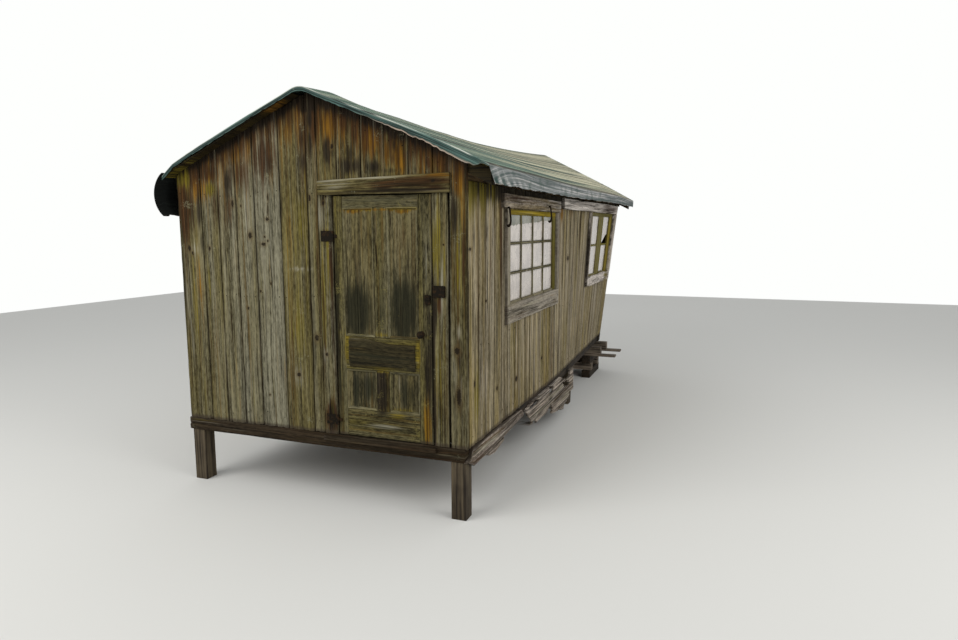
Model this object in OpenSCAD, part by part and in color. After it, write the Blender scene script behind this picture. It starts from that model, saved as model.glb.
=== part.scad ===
// Small board-sided boathouse that has racked: beyond its middle it leans to the right.
// Millimetres. x runs across (the window side is +x), y from the door gable to the lake end.

/* [Building] */
// Width over the wall boards
wall_w = 2440; // [2300:10:2600]
// Length over the wall boards
wall_l = 5500; // [5400:10:6000]
// Height of the roof surface over the side walls, above the head of the door
eave_h = 217; // [190:1:360]
// Slope of both roof halves in degrees
pitch = 24; // [20:1:27]
// Height of the board bottoms above the lowest ground
base_h = 520; // [480:10:640]
// Thickness of the wall boards
board_t = 20; // [16:1:26]
// Width of a typical wall board
board_w = 168; // [140:1:200]

/* [Racking] */
// Lean of the lake end in degrees
lean_end = 6.6; // [0:0.1:7.5]
// Distance past the first window at which the lean begins
lean_y = 75; // [50:5:160]
// Height above the board bottoms that stays in place
pivot_z = 870; // [700:10:1000]
// Rise of the ridge at the lake end, over the straight front half
ridge_rise = 93; // [0:1:110]

/* [Roof] */
// Overhang of the roof past the right wall
over_right = 185; // [150:5:230]
// Overhang of the roof past the left wall
over_left = 45; // [30:5:90]
// Overhang of the roof past both gables
rake = 95; // [80:5:130]
// Thickness of the roll roofing with its laps
roofing_t = 6; // [4:1:8]
// Thickness of the roof boards
deck_t = 20; // [16:1:25]
// Depth of a rafter
rafter_d = 90; // [80:5:110]
// Thickness of rafters and studs
stick_t = 45; // [38:1:50]
// Radius to which the roofing is bent over the ridge
ridge_r = 150; // [120:10:200]
// Depth of the roofing turned down over the right eave
flap_right = 120; // [80:5:150]
// Depth of the roofing turned down over the left eave
flap_left = 330; // [250:10:350]
// How far the roofing bows out round the left eave
flap_bow = 90; // [60:5:110]
// Depth of the roofing turned down over the right rake
lip_right = 60; // [30:5:80]
// Depth of the roofing turned down over the left rake
lip_left = 30; // [20:5:60]
// Number of rafter pairs
rafter_count = 9; // [7:1:11]

/* [Frame] */
// Width and depth of studs and plates, measured square to the wall
stud_d = 90; // [80:5:100]
// Height and width of the beams the building stands on
beam = 100; // [90:5:120]
// Thickness of the floor boards
floor_t = 22; // [18:1:28]
// Side of the posts under the building
post_w = 110; // [95:5:130]

/* [Door] */
// Distance of the door from the right corner
door_x = 264; // [250:1:330]
// Width of the door
door_w = 766; // [700:2:800]
// Height of the door
door_h = 1742; // [1700:1:1750]
// Height of the door's lower edge above the sill
door_z = 6; // [5:1:12]
// Thickness of the door
door_t = 36; // [30:1:42]
// Gap all round the door
door_gap = 6; // [5:0.5:10]
// Width of the left door stile
stile_left = 76; // [60:2:100]
// Width of the right door stile
stile_right = 104; // [80:2:120]
// Width of the trim boards beside the door
trim_w = 118; // [100:2:140]
// Height of the header board over the door
header_h = 100; // [80:5:130]

/* [Windows] */
// Near edge of the first window's casing from the front
win1_y = 785; // [700:5:850]
// Length of the first window over its casing
win1_l = 1660; // [1600:10:1700]
// Distance of the second window's casing from the lake end
win2_y = 220; // [200:5:340]
// Length of the second window over its casing
win2_l = 1460; // [1400:10:1500]
// Depth of the first window's head below the roof surface over the side walls
win_z = 295; // [270:5:340]
// Height of the first window from apron to header board
win1_h = 905; // [800:5:960]
// Height of the second window from apron to header board
win2_h = 835; // [760:5:900]
// Thickness of casing, header and apron boards
trim_t = 22; // [18:1:28]
// Thickness of the window glass
glass_t = 3; // [3:1:4]

/* [Hidden] */
$fn = 48;

seat = 0.3;
half_w = wall_w / 2;
inner_x = half_w - board_t;
door_left = half_w - door_x - door_w;
door_top = door_z + door_h;
eave_z = door_top + eave_h;
slope = tan(pitch);
lean_start = win1_y + win1_l + lean_y;
win2_start = wall_l - win2_y - win2_l;

// What leans in one piece strays sideways from its neighbours, so these clearances part them
board_fit = step(board_w, eave_z) + step(stick_t, eave_z) + seat;
stud_fit = step(stick_t, eave_z) + seat;
ridge_fit = step(stick_t, roof_z(0)) + seat;
rise_fit = ridge_rise * (1 - pow(1 - stick_t / 2 / (wall_l - lean_start), 2));
deck_fit = step(stick_t, roof_z(0)) * slope + rise_fit + seat;
frame_out = inner_x - board_fit;
frame_x = frame_out - stud_d;

under_roofing = roofing_t / cos(pitch);
under_deck = under_roofing + seat + deck_t / cos(pitch);
under_rafter = under_deck + deck_fit + rafter_d / cos(pitch);
plate_h = 90;
plate_z = roof_z(frame_x) - under_rafter;
stud_top = plate_z - plate_h;
wall_top = eave_z - under_rafter - board_fit * slope;

head_gap = 9;
header_z = door_top + head_gap;
trim_left_x = door_left - door_gap;
trim_right_x = door_left + door_w + door_gap;
corner_w = 118;
corner_x = half_w - corner_w;

flap_t = 5;
flap_flare = 12;
eave_right = half_w + over_right;
eave_left = half_w + over_left;
foot_left = half_w - sway(wall_l, -beam);
right_reach = eave_right + seat + flap_t + sway(wall_l + rake, roof_z(eave_right));
left_reach = max(eave_left + seat + flap_bow + flap_t, foot_left);
mid_x = (right_reach - left_reach) / 2;
mid_y = wall_l / 2;

// Height of the roof's outer surface at x
function roof_z(x) = eave_z + (half_w - abs(x)) * slope;
// How far the racking has moved a point at y and z
function sway(y, z) = (z - pivot_z) * tan(lean_end) * max(0, (y - lean_start) / (wall_l - lean_start));
// How far a point at y and z above the wall plates has risen: most at the ridge of the lake end
function rise(y, z) = ridge_rise * pow(max(0, (y - lean_start) / (wall_l - lean_start)), 2)
  * max(0, z - plate_z) / (roof_z(0) - plate_z);
// Where a cross-section's point lies at y
function racked(y, p) = [p[0] + sway(y, p[1]), p[1] + rise(y, p[1])];
// How far the edges of a piece of width w stray from the racking at height z
function step(w, z) = abs(sway(lean_start + w / 2, z));
// Even positions from a to b
function spread(a, b, n) = [for (i = [0:n]) a + (b - a) * i / n];
// A rectangle as four corners
function rect(x0, x1, z0, z1) = [[x0, z0], [x1, z0], [x1, z1], [x0, z1]];

// Moves the building so that its box is centred over the origin, on the ground
module place() {
  translate([-mid_x, -mid_y, base_h]) children();
}

// A cross-section from y0 to y1, flat, moved over as its middle has moved
module slice(y0, y1, pts) {
  mid = (y0 + y1) / 2;
  translate([0, y1, 0])
    rotate([90, 0, 0])
      linear_extrude(y1 - y0)
        polygon([for (p = pts) racked(mid, p)]);
}

// A cross-section along the building that follows the racking from station to station.
// The first half of its points is its lower side, and the second half comes back along the upper side.
module run(ys, pts) {
  n = len(pts);
  m = len(ys);
  points = [for (y = ys) for (p = pts) let (q = racked(y, p)) [q[0], y, q[1]]];
  sides = [for (i = [0:m - 2]) for (j = [0:n - 1])
    let (a = i * n + j, b = i * n + (j + 1) % n, c = a + n, d = b + n)
    each j < n / 2 ? [[a, b, d], [a, d, c]] : [[a, b, c], [b, d, c]]];
  last = (m - 1) * n;
  caps = [for (j = [0:n / 2 - 2]) each [[n - 1 - j, j + 1, j], [n - 1 - j, n - 2 - j, j + 1],
    [last + j, last + j + 1, last + n - 1 - j], [last + j + 1, last + n - 2 - j, last + n - 1 - j]]];
  polyhedron(points, concat(caps, sides));
}

// Stations from y0 to y1 with one where the lean begins
function stations(y0, y1, n = 6) = y1 <= lean_start ? [y0, y1]
  : concat(y0 < lean_start ? [y0] : [], spread(max(y0, lean_start), y1, n));

// Wall boards side by side from y0 to y1, each with its own lean
module boards(y0, y1, pts) {
  n = max(1, round((y1 - y0) / board_w));
  ys = [for (y = spread(y0, y1, n)) round(y)];
  for (i = [0:n - 1]) slice(ys[i], ys[i + 1], pts);
}

// Base

middle_y = 3340;
module posts() {
  color("DimGray") place()
    for (x = [-inner_x, inner_x - post_w])
      for (y = [0, middle_y])
        slice(y, y + post_w, rect(x, x + post_w, -base_h, -beam));
}

crib_n = 2;
crib_back = 640;
crib_gap = 440;
crib_end = 40;
crib_step = 120;
block_end = 60;
plank_t = 25;
plank_end = 240;
layer_h = (base_h - beam - plank_t) / (2 * crib_n);
crib_y = wall_l - crib_back;
// Top of each layer of timbers, with thin planks under the first
function crib_z(i) = -beam - 2 * i * layer_h - (i > 0 ? plank_t : 0);
module crib_timbers() {
  color("Gray") place()
    for (y = [crib_y, crib_y + crib_gap]) {
      translate([-foot_left, y, -beam - layer_h - plank_t])
        cube([foot_left + inner_x + plank_end, post_w, plank_t]);
      for (i = [0:crib_n - 1])
        translate([-foot_left, y, crib_z(i) - layer_h])
          cube([foot_left + inner_x + crib_end - crib_step * i, post_w, layer_h]);
    }
}

module crib_blocks() {
  color("DarkGray") place()
    for (i = [0:crib_n - 1])
      for (x = [-inner_x, inner_x - post_w])
        translate([x + sway(crib_y, -beam), crib_y - block_end, crib_z(i + 1)])
          cube([post_w, crib_gap + post_w + 2 * block_end, layer_h]);
}

sill_proud = 10;
skid_start = beam - sill_proud;
skid_end = wall_l - beam - sill_proud;
module skids() {
  color("SaddleBrown") place()
    for (x = [-inner_x, inner_x - beam])
      run(stations(skid_start, skid_end), rect(x, x + beam, -beam, 0));
}

module front_sill() {
  color("Sienna") place()
    translate([-half_w, -sill_proud, -beam]) cube([wall_w - board_t - seat, beam, beam]);
}

module back_sill() {
  color("Sienna") place()
    slice(skid_end, skid_end + beam, rect(-half_w, half_w, -beam, 0));
}

joist_n = 8;
joist_first = 300;
joist_last = 400;
module floor_joists() {
  x = inner_x - beam - stud_fit;
  color("Peru") place()
    for (y = spread(beam + joist_first, wall_l - beam - joist_last, joist_n))
      slice(y, y + stick_t, rect(-x, x, -beam, 0));
}

module floor_boards() {
  x = frame_x - stud_fit;
  color("Tan") place()
    run(stations(board_t + stud_d, wall_l - board_t - stud_d), rect(-x, x, 0, floor_t));
}

step_t = 20;
step_h = 40;
module threshold() {
  color("Sienna") place()
    translate([trim_left_x - trim_w, -sill_proud - step_t, -step_h - door_z - door_gap / 3])
      cube([door_w + trim_w + 6 * door_gap, step_t, step_h]);
}

// An upright plank of thickness t on the right side, as it lies along y and z
module side_plank(t, pts) {
  translate([inner_x, 0, 0])
    rotate([90, 0, 90])
      linear_extrude(t) polygon(pts);
}

// The skirt plank narrows towards its far end, with a second one split off under it
skirt_l = 1320;
skirt_t = 24;
skirt_h = 110;
split_t = 12;
split_y = [400, 780];
split_drop = 60;
module skirt_plank() {
  low = -skirt_h - 40;
  color("Silver") place() {
    side_plank(skirt_t, [[-30, low / 2], [40, low / 2 + 10], [70, -35], [skirt_l / 2, -50], [skirt_l, -90],
      [skirt_l, -105], [split_y[1], low + 15], [split_y[0], low - 5], [skirt_h, low]]);
    side_plank(split_t, [[split_y[0], low / 2], [split_y[1], low / 2], [split_y[1], low - split_drop / 3],
      [(split_y[0] + split_y[1]) / 2, low - split_drop * 0.8], [split_y[0], low - split_drop / 2]]);
  }
}

// A plank rotted to tips at both ends and through in places: outline and holes from its near upper corner
rotten_y = 1360;
rotten_z = -50;
rotten_t = 30;
rotten_outline = [[0, -60], [170, -160], [225, -210], [290, -180], [370, -240], [470, -220], [750, -240],
  [890, -190], [960, -240], [920, -300], [1240, -340], [1470, -390], [1490, -340], [1720, -310], [1740, -250],
  [1940, -260], [1920, -50], [1780, 0], [1690, -20], [1720, -75], [1570, -75], [1340, -20], [1240, 0],
  [880, -10], [620, -60], [400, -70], [350, -110], [130, -80]];
rotten_holes = [[[825, -70], [930, -90], [935, -145], [850, -100]],
  [[1440, -100], [1650, -105], [1680, -148], [1500, -130]]];
module rotten_timber() {
  color("Silver") place() translate([0, rotten_y, rotten_z]) difference() {
    side_plank(rotten_t, rotten_outline);
    for (h = rotten_holes) translate([-rotten_t, 0, 0]) side_plank(3 * rotten_t, h);
  }
}

// Frame behind the boards

// Top of a gable stud at x, under the rafters
function gable_stud_top(x) = max(abs(x), abs(x + stick_t)) > frame_x ? stud_top
  : roof_z(max(abs(x), abs(x + stick_t))) - under_rafter - head_gap / 2;

front_stud_x = -660;
module front_studs() {
  color("BurlyWood") place()
    for (x = [-frame_out, frame_out - stick_t, trim_left_x - stick_t, trim_right_x, front_stud_x])
      translate([x, board_t, 0]) cube([stick_t, stud_d, gable_stud_top(x)]);
}

// Studs lap the windows' casings by this much
stud_lap = 15;
right_stud_y = [win1_y + stud_lap - stick_t, win1_y + win1_l - stud_lap, (win1_y + win1_l + win2_start) / 2,
  win2_start - stick_t, win2_start + win2_l - stud_lap];
module right_studs() {
  color("BurlyWood") place()
    for (y = right_stud_y) slice(y, y + stick_t, rect(frame_x, frame_out, 0, stud_top));
}

left_stud_n = 6;
left_stud_end = 700;
module left_studs() {
  color("BurlyWood") place()
    for (y = spread(left_stud_end, wall_l - left_stud_end, left_stud_n))
      slice(y, y + stick_t, rect(-frame_out, -frame_x, 0, stud_top));
}

back_stud_x = 400;
module back_studs() {
  y = wall_l - board_t;
  color("BurlyWood") place()
    for (x = [-frame_out, -back_stud_x - stick_t, back_stud_x, frame_out - stick_t])
      slice(y - stud_d, y, rect(x, x + stick_t, 0, gable_stud_top(x) - board_fit));
}

module top_plates() {
  ys = stations(board_t, wall_l - board_t);
  color("BurlyWood") place() {
    run(ys, rect(frame_x, frame_out, stud_top, plate_z));
    run(ys, rect(-frame_out, -frame_x, stud_top, plate_z));
  }
}

// Walls

wall_z = under_deck + deck_fit;
trim_top = header_z + door_gap;
module front_wall_left() {
  color("Tan") place()
    slice(0, board_t, [[-half_w, 0], [trim_left_x - trim_w, 0],
      [trim_left_x - trim_w, roof_z(trim_left_x - trim_w) - wall_z], [0, roof_z(0) - wall_z],
      [-half_w, roof_z(half_w) - wall_z]]);
}

module front_gable() {
  color("DarkGoldenrod") place()
    slice(0, board_t, [[trim_left_x - trim_w, trim_top], [corner_x, trim_top],
      [corner_x, roof_z(corner_x) - wall_z], [trim_left_x - trim_w, roof_z(trim_left_x - trim_w) - wall_z]]);
}

module corner_board() {
  color("Olive") place()
    slice(0, board_t, [[corner_x, 0], [half_w, 0], [half_w, roof_z(half_w) - wall_z],
      [corner_x, roof_z(corner_x) - wall_z]]);
}

module door_trims() {
  color("Tan") place() {
    slice(0, board_t, rect(trim_left_x - trim_w, trim_left_x, 0, trim_top));
    slice(0, board_t, rect(trim_right_x, trim_right_x + trim_w, 0, trim_top));
  }
}

header_inset = 12;
header_rise = 28;
module door_header() {
  x = trim_left_x - trim_w + header_inset;
  color("DarkOliveGreen") place()
    slice(-trim_t, 0, [[x, header_z - 3], [corner_x, header_z], [corner_x, header_z + header_h + header_rise],
      [x, header_z + header_h - 3]]);
}

// The hole that a sash between ys and zs sits in
module window_hole(ys, zs) {
  run([ys[0][0] - seat, ys[len(ys) - 1][1] + seat],
    rect(inner_x - board_w, half_w + board_w, zs[0][0] - seat, zs[len(zs) - 1][1] + seat));
}

module right_wall_front() {
  color("DarkKhaki") place() difference() {
    slice(board_t, lean_start, rect(inner_x, half_w, 0, wall_top));
    window_hole(win1_ys, win1_zs);
  }
}

module right_wall_rear() {
  color("DarkKhaki") place() difference() {
    boards(lean_start, wall_l - board_t, rect(inner_x, half_w, 0, wall_top));
    window_hole(win2_ys, win2_zs);
  }
}

module left_wall_front() {
  color("DarkKhaki") place()
    slice(board_t, lean_start, rect(-half_w, -inner_x, 0, wall_top));
}

module left_wall_rear() {
  color("DarkKhaki") place()
    boards(lean_start, wall_l - board_t, rect(-half_w, -inner_x, 0, wall_top));
}

module back_wall() {
  color("Tan") place()
    slice(wall_l - board_t, wall_l, [[-half_w, 0], [half_w, 0], [half_w, roof_z(half_w) - wall_z],
      [0, roof_z(0) - wall_z], [-half_w, roof_z(half_w) - wall_z]]);
}

// Roof

tail_inset = 25;
deck_inset = 10;
ridge_t = 20;
// The right rafter, from the ridge board to its tail
function rafter_pts(tail) = let (in = ridge_t / 2 + ridge_fit) [
  [in, roof_z(in) - under_rafter],
  [frame_x, plate_z], [inner_x, plate_z], [inner_x, roof_z(inner_x) - under_rafter],
  [tail, roof_z(tail) - under_rafter],
  [tail, roof_z(tail) - under_deck - deck_fit],
  [in, roof_z(in) - under_deck - deck_fit]];
rafter_ys = spread(board_t, wall_l - board_t - stick_t, rafter_count - 1);

module right_rafters() {
  color("BurlyWood") place()
    for (y = rafter_ys) slice(y, y + stick_t, rafter_pts(eave_right - tail_inset));
}

module left_rafters() {
  color("BurlyWood") place()
    for (y = rafter_ys)
      slice(y, y + stick_t, [for (p = rafter_pts(eave_left - tail_inset)) [-p[0], p[1]]]);
}

module ridge_board() {
  color("BurlyWood") place()
    run(stations(board_t, wall_l - board_t), rect(-ridge_t / 2, ridge_t / 2,
      roof_z(0) - under_rafter, roof_z(ridge_t / 2) - under_deck - deck_fit));
}

// Stations from y0 to y1 over the middle of each rafter that leans
function roof_stations(y0, y1) = concat([y0, lean_start],
  [for (y = rafter_ys) if (y > lean_start) y + stick_t / 2], [y1]);

deck_in = ridge_r * sin(pitch) + seat;
deck_ys = roof_stations(deck_inset - rake, wall_l + rake - deck_inset);
function deck_side(s, b) = let (a = deck_in, t = under_roofing + seat) s > 0
  ? [[a, roof_z(a) - under_deck], [b, roof_z(b) - under_deck], [b, roof_z(b) - t], [a, roof_z(a) - t]]
  : [[-b, roof_z(b) - under_deck], [-a, roof_z(a) - under_deck], [-a, roof_z(a) - t], [-b, roof_z(b) - t]];
module roof_boards() {
  color("Sienna") place() {
    run(deck_ys, deck_side(1, eave_right - deck_inset));
    run(deck_ys, deck_side(-1, eave_left - deck_inset));
  }
}

// The bend over the ridge at radius r
ridge_c = roof_z(ridge_r * sin(pitch)) - ridge_r * cos(pitch);
function ridge_bend(r) = [for (i = [-5:5]) [r * sin(pitch * i / 5), ridge_c + r * cos(pitch * i / 5)]];
roofing_ys = roof_stations(-rake, wall_l + rake);
roofing_pts = concat(
  [[-eave_left, roof_z(eave_left) - under_roofing]],
  ridge_bend(ridge_r - roofing_t),
  [[eave_right, roof_z(eave_right) - under_roofing], [eave_right, roof_z(eave_right)]],
  [for (p = ridge_bend(ridge_r)) [-p[0], p[1]]],
  [[-eave_left, roof_z(eave_left)]]);
// Depth of the roofing turned down over a rake at x
function lip(x) = lip_left + (lip_right - lip_left) * (x + eave_left) / (eave_left + eave_right);
roofing_top = [for (i = [len(roofing_pts) / 2:len(roofing_pts) - 1]) roofing_pts[i]];
lip_pts = concat([for (i = [len(roofing_top) - 1:-1:0]) let (p = roofing_top[i]) [p[0], p[1] - lip(p[0])]],
  roofing_top);
module roofing() {
  color("CadetBlue") place() {
    run(roofing_ys, roofing_pts);
    run([-rake - flap_t, -rake], lip_pts);
    run([wall_l + rake, wall_l + rake + flap_t], lip_pts);
  }
}

module eave_flap_right() {
  x = eave_right + seat;
  top = roof_z(eave_right);
  color("SlateGray") place()
    run(roofing_ys, [[x + flap_flare, top - flap_right], [x + flap_flare + flap_t, top - flap_right],
      [x + flap_t, top], [x, top]]);
}

// The left flap bows out in an arc from the edge of the roof and back in
wrap_r = (pow(flap_bow, 2) + pow(flap_left / 2, 2)) / (2 * flap_bow);
wrap_turn = asin(flap_left / 2 / wrap_r);
// Points of that arc at radius r, from its upper end down
function eave_wrap(r) =
  let (x = wrap_r * cos(wrap_turn) - eave_left - seat, z = roof_z(eave_left) - flap_left / 2)
  [for (i = [5:-1:-5]) [x - r * cos(wrap_turn * i / 5), z + r * sin(wrap_turn * i / 5)]];
module eave_flap_left() {
  inner = eave_wrap(wrap_r);
  color("DarkSlateGray") place()
    run(roofing_ys, concat(eave_wrap(wrap_r + flap_t), [for (i = [len(inner) - 1:-1:0]) inner[i]]));
}

// Windows

apron_h = 155;
apron2_h = 60;
stile_w = 80;
rail_h = 45;
sash_t = 26;
muntin = 22;
win2_step = 25;
win1_top = eave_z - win_z;
win2_top = win1_top - win2_step;
win1_foot = win1_top - win1_h;
win2_foot = win2_top - win2_h;
frieze_h = 115;
frieze2_h = 95;
frieze2_gap = 62;
casing_x = half_w + seat;
casing2_x = half_w + step(board_w, win2_top) + seat;
frieze2_x = half_w + step(board_w, win2_top + frieze2_gap + frieze2_h) + seat;

// Start and end of each bar: an outer bar at both ends and n - 1 thinner ones between, evenly
function bars(a, b, first, last, n, m) = let (pane = (b - a - first - last - (n - 1) * m) / n)
  concat([[a, a + first]], [for (i = [1:n - 1]) let (s = a + first + i * pane + (i - 1) * m) [s, s + m]],
    [[b - last, b]]);

// The first window's sash has narrow stiles, and the second has wide boards between and beside its panes
sash1_stiles = [47, 103];
sash2_stiles = [145, 120];
sash2_board = 370;
sash_lap = 30;
win1_ys = bars(win1_y + stile_w, win1_y + win1_l - stile_w, sash1_stiles[0], sash1_stiles[1], 4, muntin);
win1_zs = bars(win1_foot + apron_h - sash_lap, win1_top - seat, rail_h, rail_h, 3, muntin);
win2_ys = bars(win2_start + stile_w, win2_start + win2_l - stile_w, sash2_stiles[0], sash2_stiles[1], 2,
  sash2_board);
win2_zs = bars(win2_foot + apron2_h - sash_lap, win2_top - seat, rail_h, rail_h, 2, 2 * muntin);

// Two stiles and the apron of a window
module window_casing(x, y, l, z0, z1, apron) {
  for (s = [y, y + l - stile_w]) run([s, s + stile_w], rect(x, x + trim_t, z0 + apron, z1));
  run([y, y + l], rect(x, x + trim_t, z0, z0 + apron));
}

// Upright bars with crosswise bars between them, their outer face flush with the wall boards
module sash(ys, zs) {
  for (y = ys) run(y, rect(half_w - sash_t, half_w, zs[0][0], zs[len(zs) - 1][1]));
  for (i = [0:len(ys) - 2])
    for (z = zs) run([ys[i][1], ys[i + 1][0]], rect(half_w - sash_t, half_w, z[0], z[1]));
}

// A pane in each light of a sash
module panes(ys, zs) {
  x = half_w - sash_t / 2;
  for (i = [0:len(ys) - 2])
    for (j = [0:len(zs) - 2])
      run([ys[i][1] + seat, ys[i + 1][0] - seat], rect(x - glass_t, x, zs[j][1] + seat, zs[j + 1][0] - seat));
}

module window1_casing() {
  color("Gray") place() window_casing(casing_x, win1_y, win1_l, win1_foot, win1_top, apron_h);
}

module window2_casing() {
  color("Gray") place() window_casing(casing2_x, win2_start, win2_l, win2_foot, win2_top, apron2_h);
}

module window1_sash() {
  color("Goldenrod") place() sash(win1_ys, win1_zs);
}

module window1_glass() {
  color("Lavender", 0.6) place() panes(win1_ys, win1_zs);
}

module window2_sash() {
  color("Goldenrod") place() sash(win2_ys, win2_zs);
}

module window2_glass() {
  color("Lavender", 0.6) place() panes(win2_ys, win2_zs);
}

frieze_near = 85;
frieze_far = 65;
frieze2_end = 100;
module frieze_boards() {
  color("Gray") place() {
    run([win1_y - frieze_near, win1_y + win1_l + frieze_far],
      rect(casing_x, casing_x + trim_t, win1_top + seat, win1_top + frieze_h));
    run(stations(lean_start + frieze_near, wall_l - frieze2_end),
      rect(frieze2_x, frieze2_x + trim_t, win2_top + frieze2_gap, win2_top + frieze2_gap + frieze2_h));
  }
}

hook_l = 130;
hook_d = 8;
hook_r = 13;
hook_up = 30;
hook_ends = [77, 295];
// Half a ring of the hook's rod, standing along the wall
module hook_bend() {
  rotate([90, 0, 90])
    rotate_extrude(angle = 180)
      translate([hook_r, 0]) circle(d = hook_d);
}

// S hooks that hang over the ends of the sash
module window_hooks() {
  color("Black") place()
    for (y = [win1_y + hook_ends[0], win1_y + win1_l - hook_ends[1]])
      translate([casing_x + trim_t + hook_d / 2 + seat, y, win1_top + hook_up - hook_l]) {
        cylinder(d = hook_d, h = hook_l);
        translate([0, hook_r, hook_l]) hook_bend();
        translate([0, -hook_r, 0]) rotate([180, 0, 0]) hook_bend();
      }
}

// Door

hinge_h = 76;
hinge_low = 115;
hinge_high = 283;
hinge_zs = [hinge_low, door_top - hinge_high];
hinge_y = -7;
hinge_x = door_left - door_gap / 2;
leaf_t = 4;
leaf_l = 105;
moving_leaf = 30;
knuckle_r = 6.5;
knuckle_h = hinge_h / 3;
knuckle_clear = 0.7;
pin_r = 3;
pin_fit = 0.08;
door_y = 3;

// Fixed half of a hinge: the leaf on the trim, its two knuckles and the pin
module hinge_fixed(z) {
  leaf_x = door_left - leaf_l;
  translate([leaf_x, -leaf_t, z])
    cube([hinge_x - knuckle_r - knuckle_clear - leaf_x, leaf_t, hinge_h]);
  for (k = [0, 2 * knuckle_h + seat]) {
    translate([hinge_x - 2 * knuckle_r, -leaf_t, z + k]) cube([2 * knuckle_r, leaf_t, knuckle_h - seat]);
    translate([hinge_x, hinge_y, z + k]) cylinder(r = knuckle_r, h = knuckle_h - seat);
  }
  translate([hinge_x, hinge_y, z]) cylinder(r = pin_r, h = hinge_h);
}

// Moving half of a hinge: the knuckle between and the leaf on the door stile
module hinge_moving(z) {
  translate([hinge_x, 0, z + knuckle_h]) difference() {
    union() {
      translate([0, hinge_y, 0]) cylinder(r = knuckle_r, h = knuckle_h);
      translate([0, door_y - 2 * pin_r, 0]) cube([moving_leaf, 2 * pin_r - seat, knuckle_h]);
    }
    translate([0, hinge_y, -1]) cylinder(r = pin_r + pin_fit, h = knuckle_h + 2);
  }
}

keeper_in = 8;
keeper = [88, 18, 80];
keeper_z = 1052;
module door_irons() {
  color("Black") place() {
    for (z = hinge_zs) hinge_fixed(z - hinge_h / 2);
    translate([trim_right_x + keeper_in, -keeper[1], keeper_z]) cube(keeper);
  }
}

mull_x = 318;
mull_w = 106;
low_mull_x = 322;
lock_h = 245;
bottom_rail = 205;
low_panel_h = 294;
top_rail = 84;
panel_in = 12;
panel_t = 12;
moulding_w = 12;
moulding_t = 8;
lock_z = bottom_rail + low_panel_h;
panel_z = lock_z + lock_h;
panel_h = door_h - top_rail - panel_z;

// The four panel openings of the door: left, right, bottom and height of each
lights = [for (c = [[low_mull_x, bottom_rail, low_panel_h], [mull_x, panel_z, panel_h]])
  each [[stile_left, c[0], c[1], c[2]], [c[0] + mull_w, door_w - stile_right, c[1], c[2]]]];

module door_frame() {
  color("DarkKhaki") place() translate([door_left, door_y, door_z]) difference() {
    cube([door_w, door_t, door_h]);
    for (l = lights) translate([l[0], -1, l[2]]) cube([l[1] - l[0], door_t + 2, l[3]]);
  }
}

// A flat panel of width w and height h with a moulding round its outer face
module panel(w, h) {
  cube([w, panel_t, h]);
  translate([0, -moulding_t, 0]) difference() {
    cube([w, moulding_t, h]);
    translate([moulding_w, -1, moulding_w]) cube([w - 2 * moulding_w, moulding_t + 2, h - 2 * moulding_w]);
  }
}

module door_panels() {
  color("DimGray") place() translate([door_left, door_y + panel_in, door_z])
    for (l = lights) translate([l[0] + seat, 0, l[2] + seat]) panel(l[1] - l[0] - 2 * seat, l[3] - 2 * seat);
}

patch = [528, 12, 216];
patch_at = [107, 520];
knob_d = 50;
knob_l = 40;
knob_at = [80, 790];
latch = [42, 14, 66];
latch_at = [50, 1000];
module door_hardware() {
  color("Black") place() {
    translate([door_left + patch_at[0], door_y - patch[1], patch_at[1]]) cube(patch);
    translate([door_left + door_w - knob_at[0], door_y, knob_at[1]])
      rotate([90, 0, 0]) cylinder(d = knob_d, h = knob_l);
    translate([door_left + door_w - latch_at[0], door_y - latch[1], latch_at[1]]) cube(latch);
    for (z = hinge_zs) hinge_moving(z - hinge_h / 2);
  }
}

posts();
crib_timbers();
crib_blocks();
skids();
front_sill();
back_sill();
floor_joists();
floor_boards();
threshold();
skirt_plank();
rotten_timber();
front_studs();
right_studs();
left_studs();
back_studs();
top_plates();
front_wall_left();
front_gable();
corner_board();
door_trims();
door_header();
right_wall_front();
right_wall_rear();
left_wall_front();
left_wall_rear();
back_wall();
right_rafters();
left_rafters();
ridge_board();
roof_boards();
roofing();
eave_flap_right();
eave_flap_left();
window1_casing();
window1_sash();
window1_glass();
window2_casing();
window2_sash();
window2_glass();
frieze_boards();
window_hooks();
door_irons();
door_frame();
door_panels();
door_hardware();
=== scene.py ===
import bpy
import bmesh
import math
import numpy as np
from mathutils import Matrix, Vector


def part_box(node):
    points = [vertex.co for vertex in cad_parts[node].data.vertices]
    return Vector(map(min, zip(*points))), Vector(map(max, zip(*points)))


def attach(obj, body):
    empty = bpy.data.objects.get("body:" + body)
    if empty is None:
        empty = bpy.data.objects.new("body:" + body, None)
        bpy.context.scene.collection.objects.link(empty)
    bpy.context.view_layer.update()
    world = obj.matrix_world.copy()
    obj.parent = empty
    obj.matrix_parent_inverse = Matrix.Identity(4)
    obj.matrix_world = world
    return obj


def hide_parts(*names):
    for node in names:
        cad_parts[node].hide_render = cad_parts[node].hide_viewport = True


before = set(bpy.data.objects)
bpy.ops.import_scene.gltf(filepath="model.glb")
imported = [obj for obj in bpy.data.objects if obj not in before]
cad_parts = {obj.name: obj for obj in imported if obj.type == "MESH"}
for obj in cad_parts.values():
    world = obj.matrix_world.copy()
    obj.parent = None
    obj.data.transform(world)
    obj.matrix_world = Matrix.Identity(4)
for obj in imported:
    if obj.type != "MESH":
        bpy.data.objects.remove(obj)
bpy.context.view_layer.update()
scene = bpy.context.scene

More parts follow.
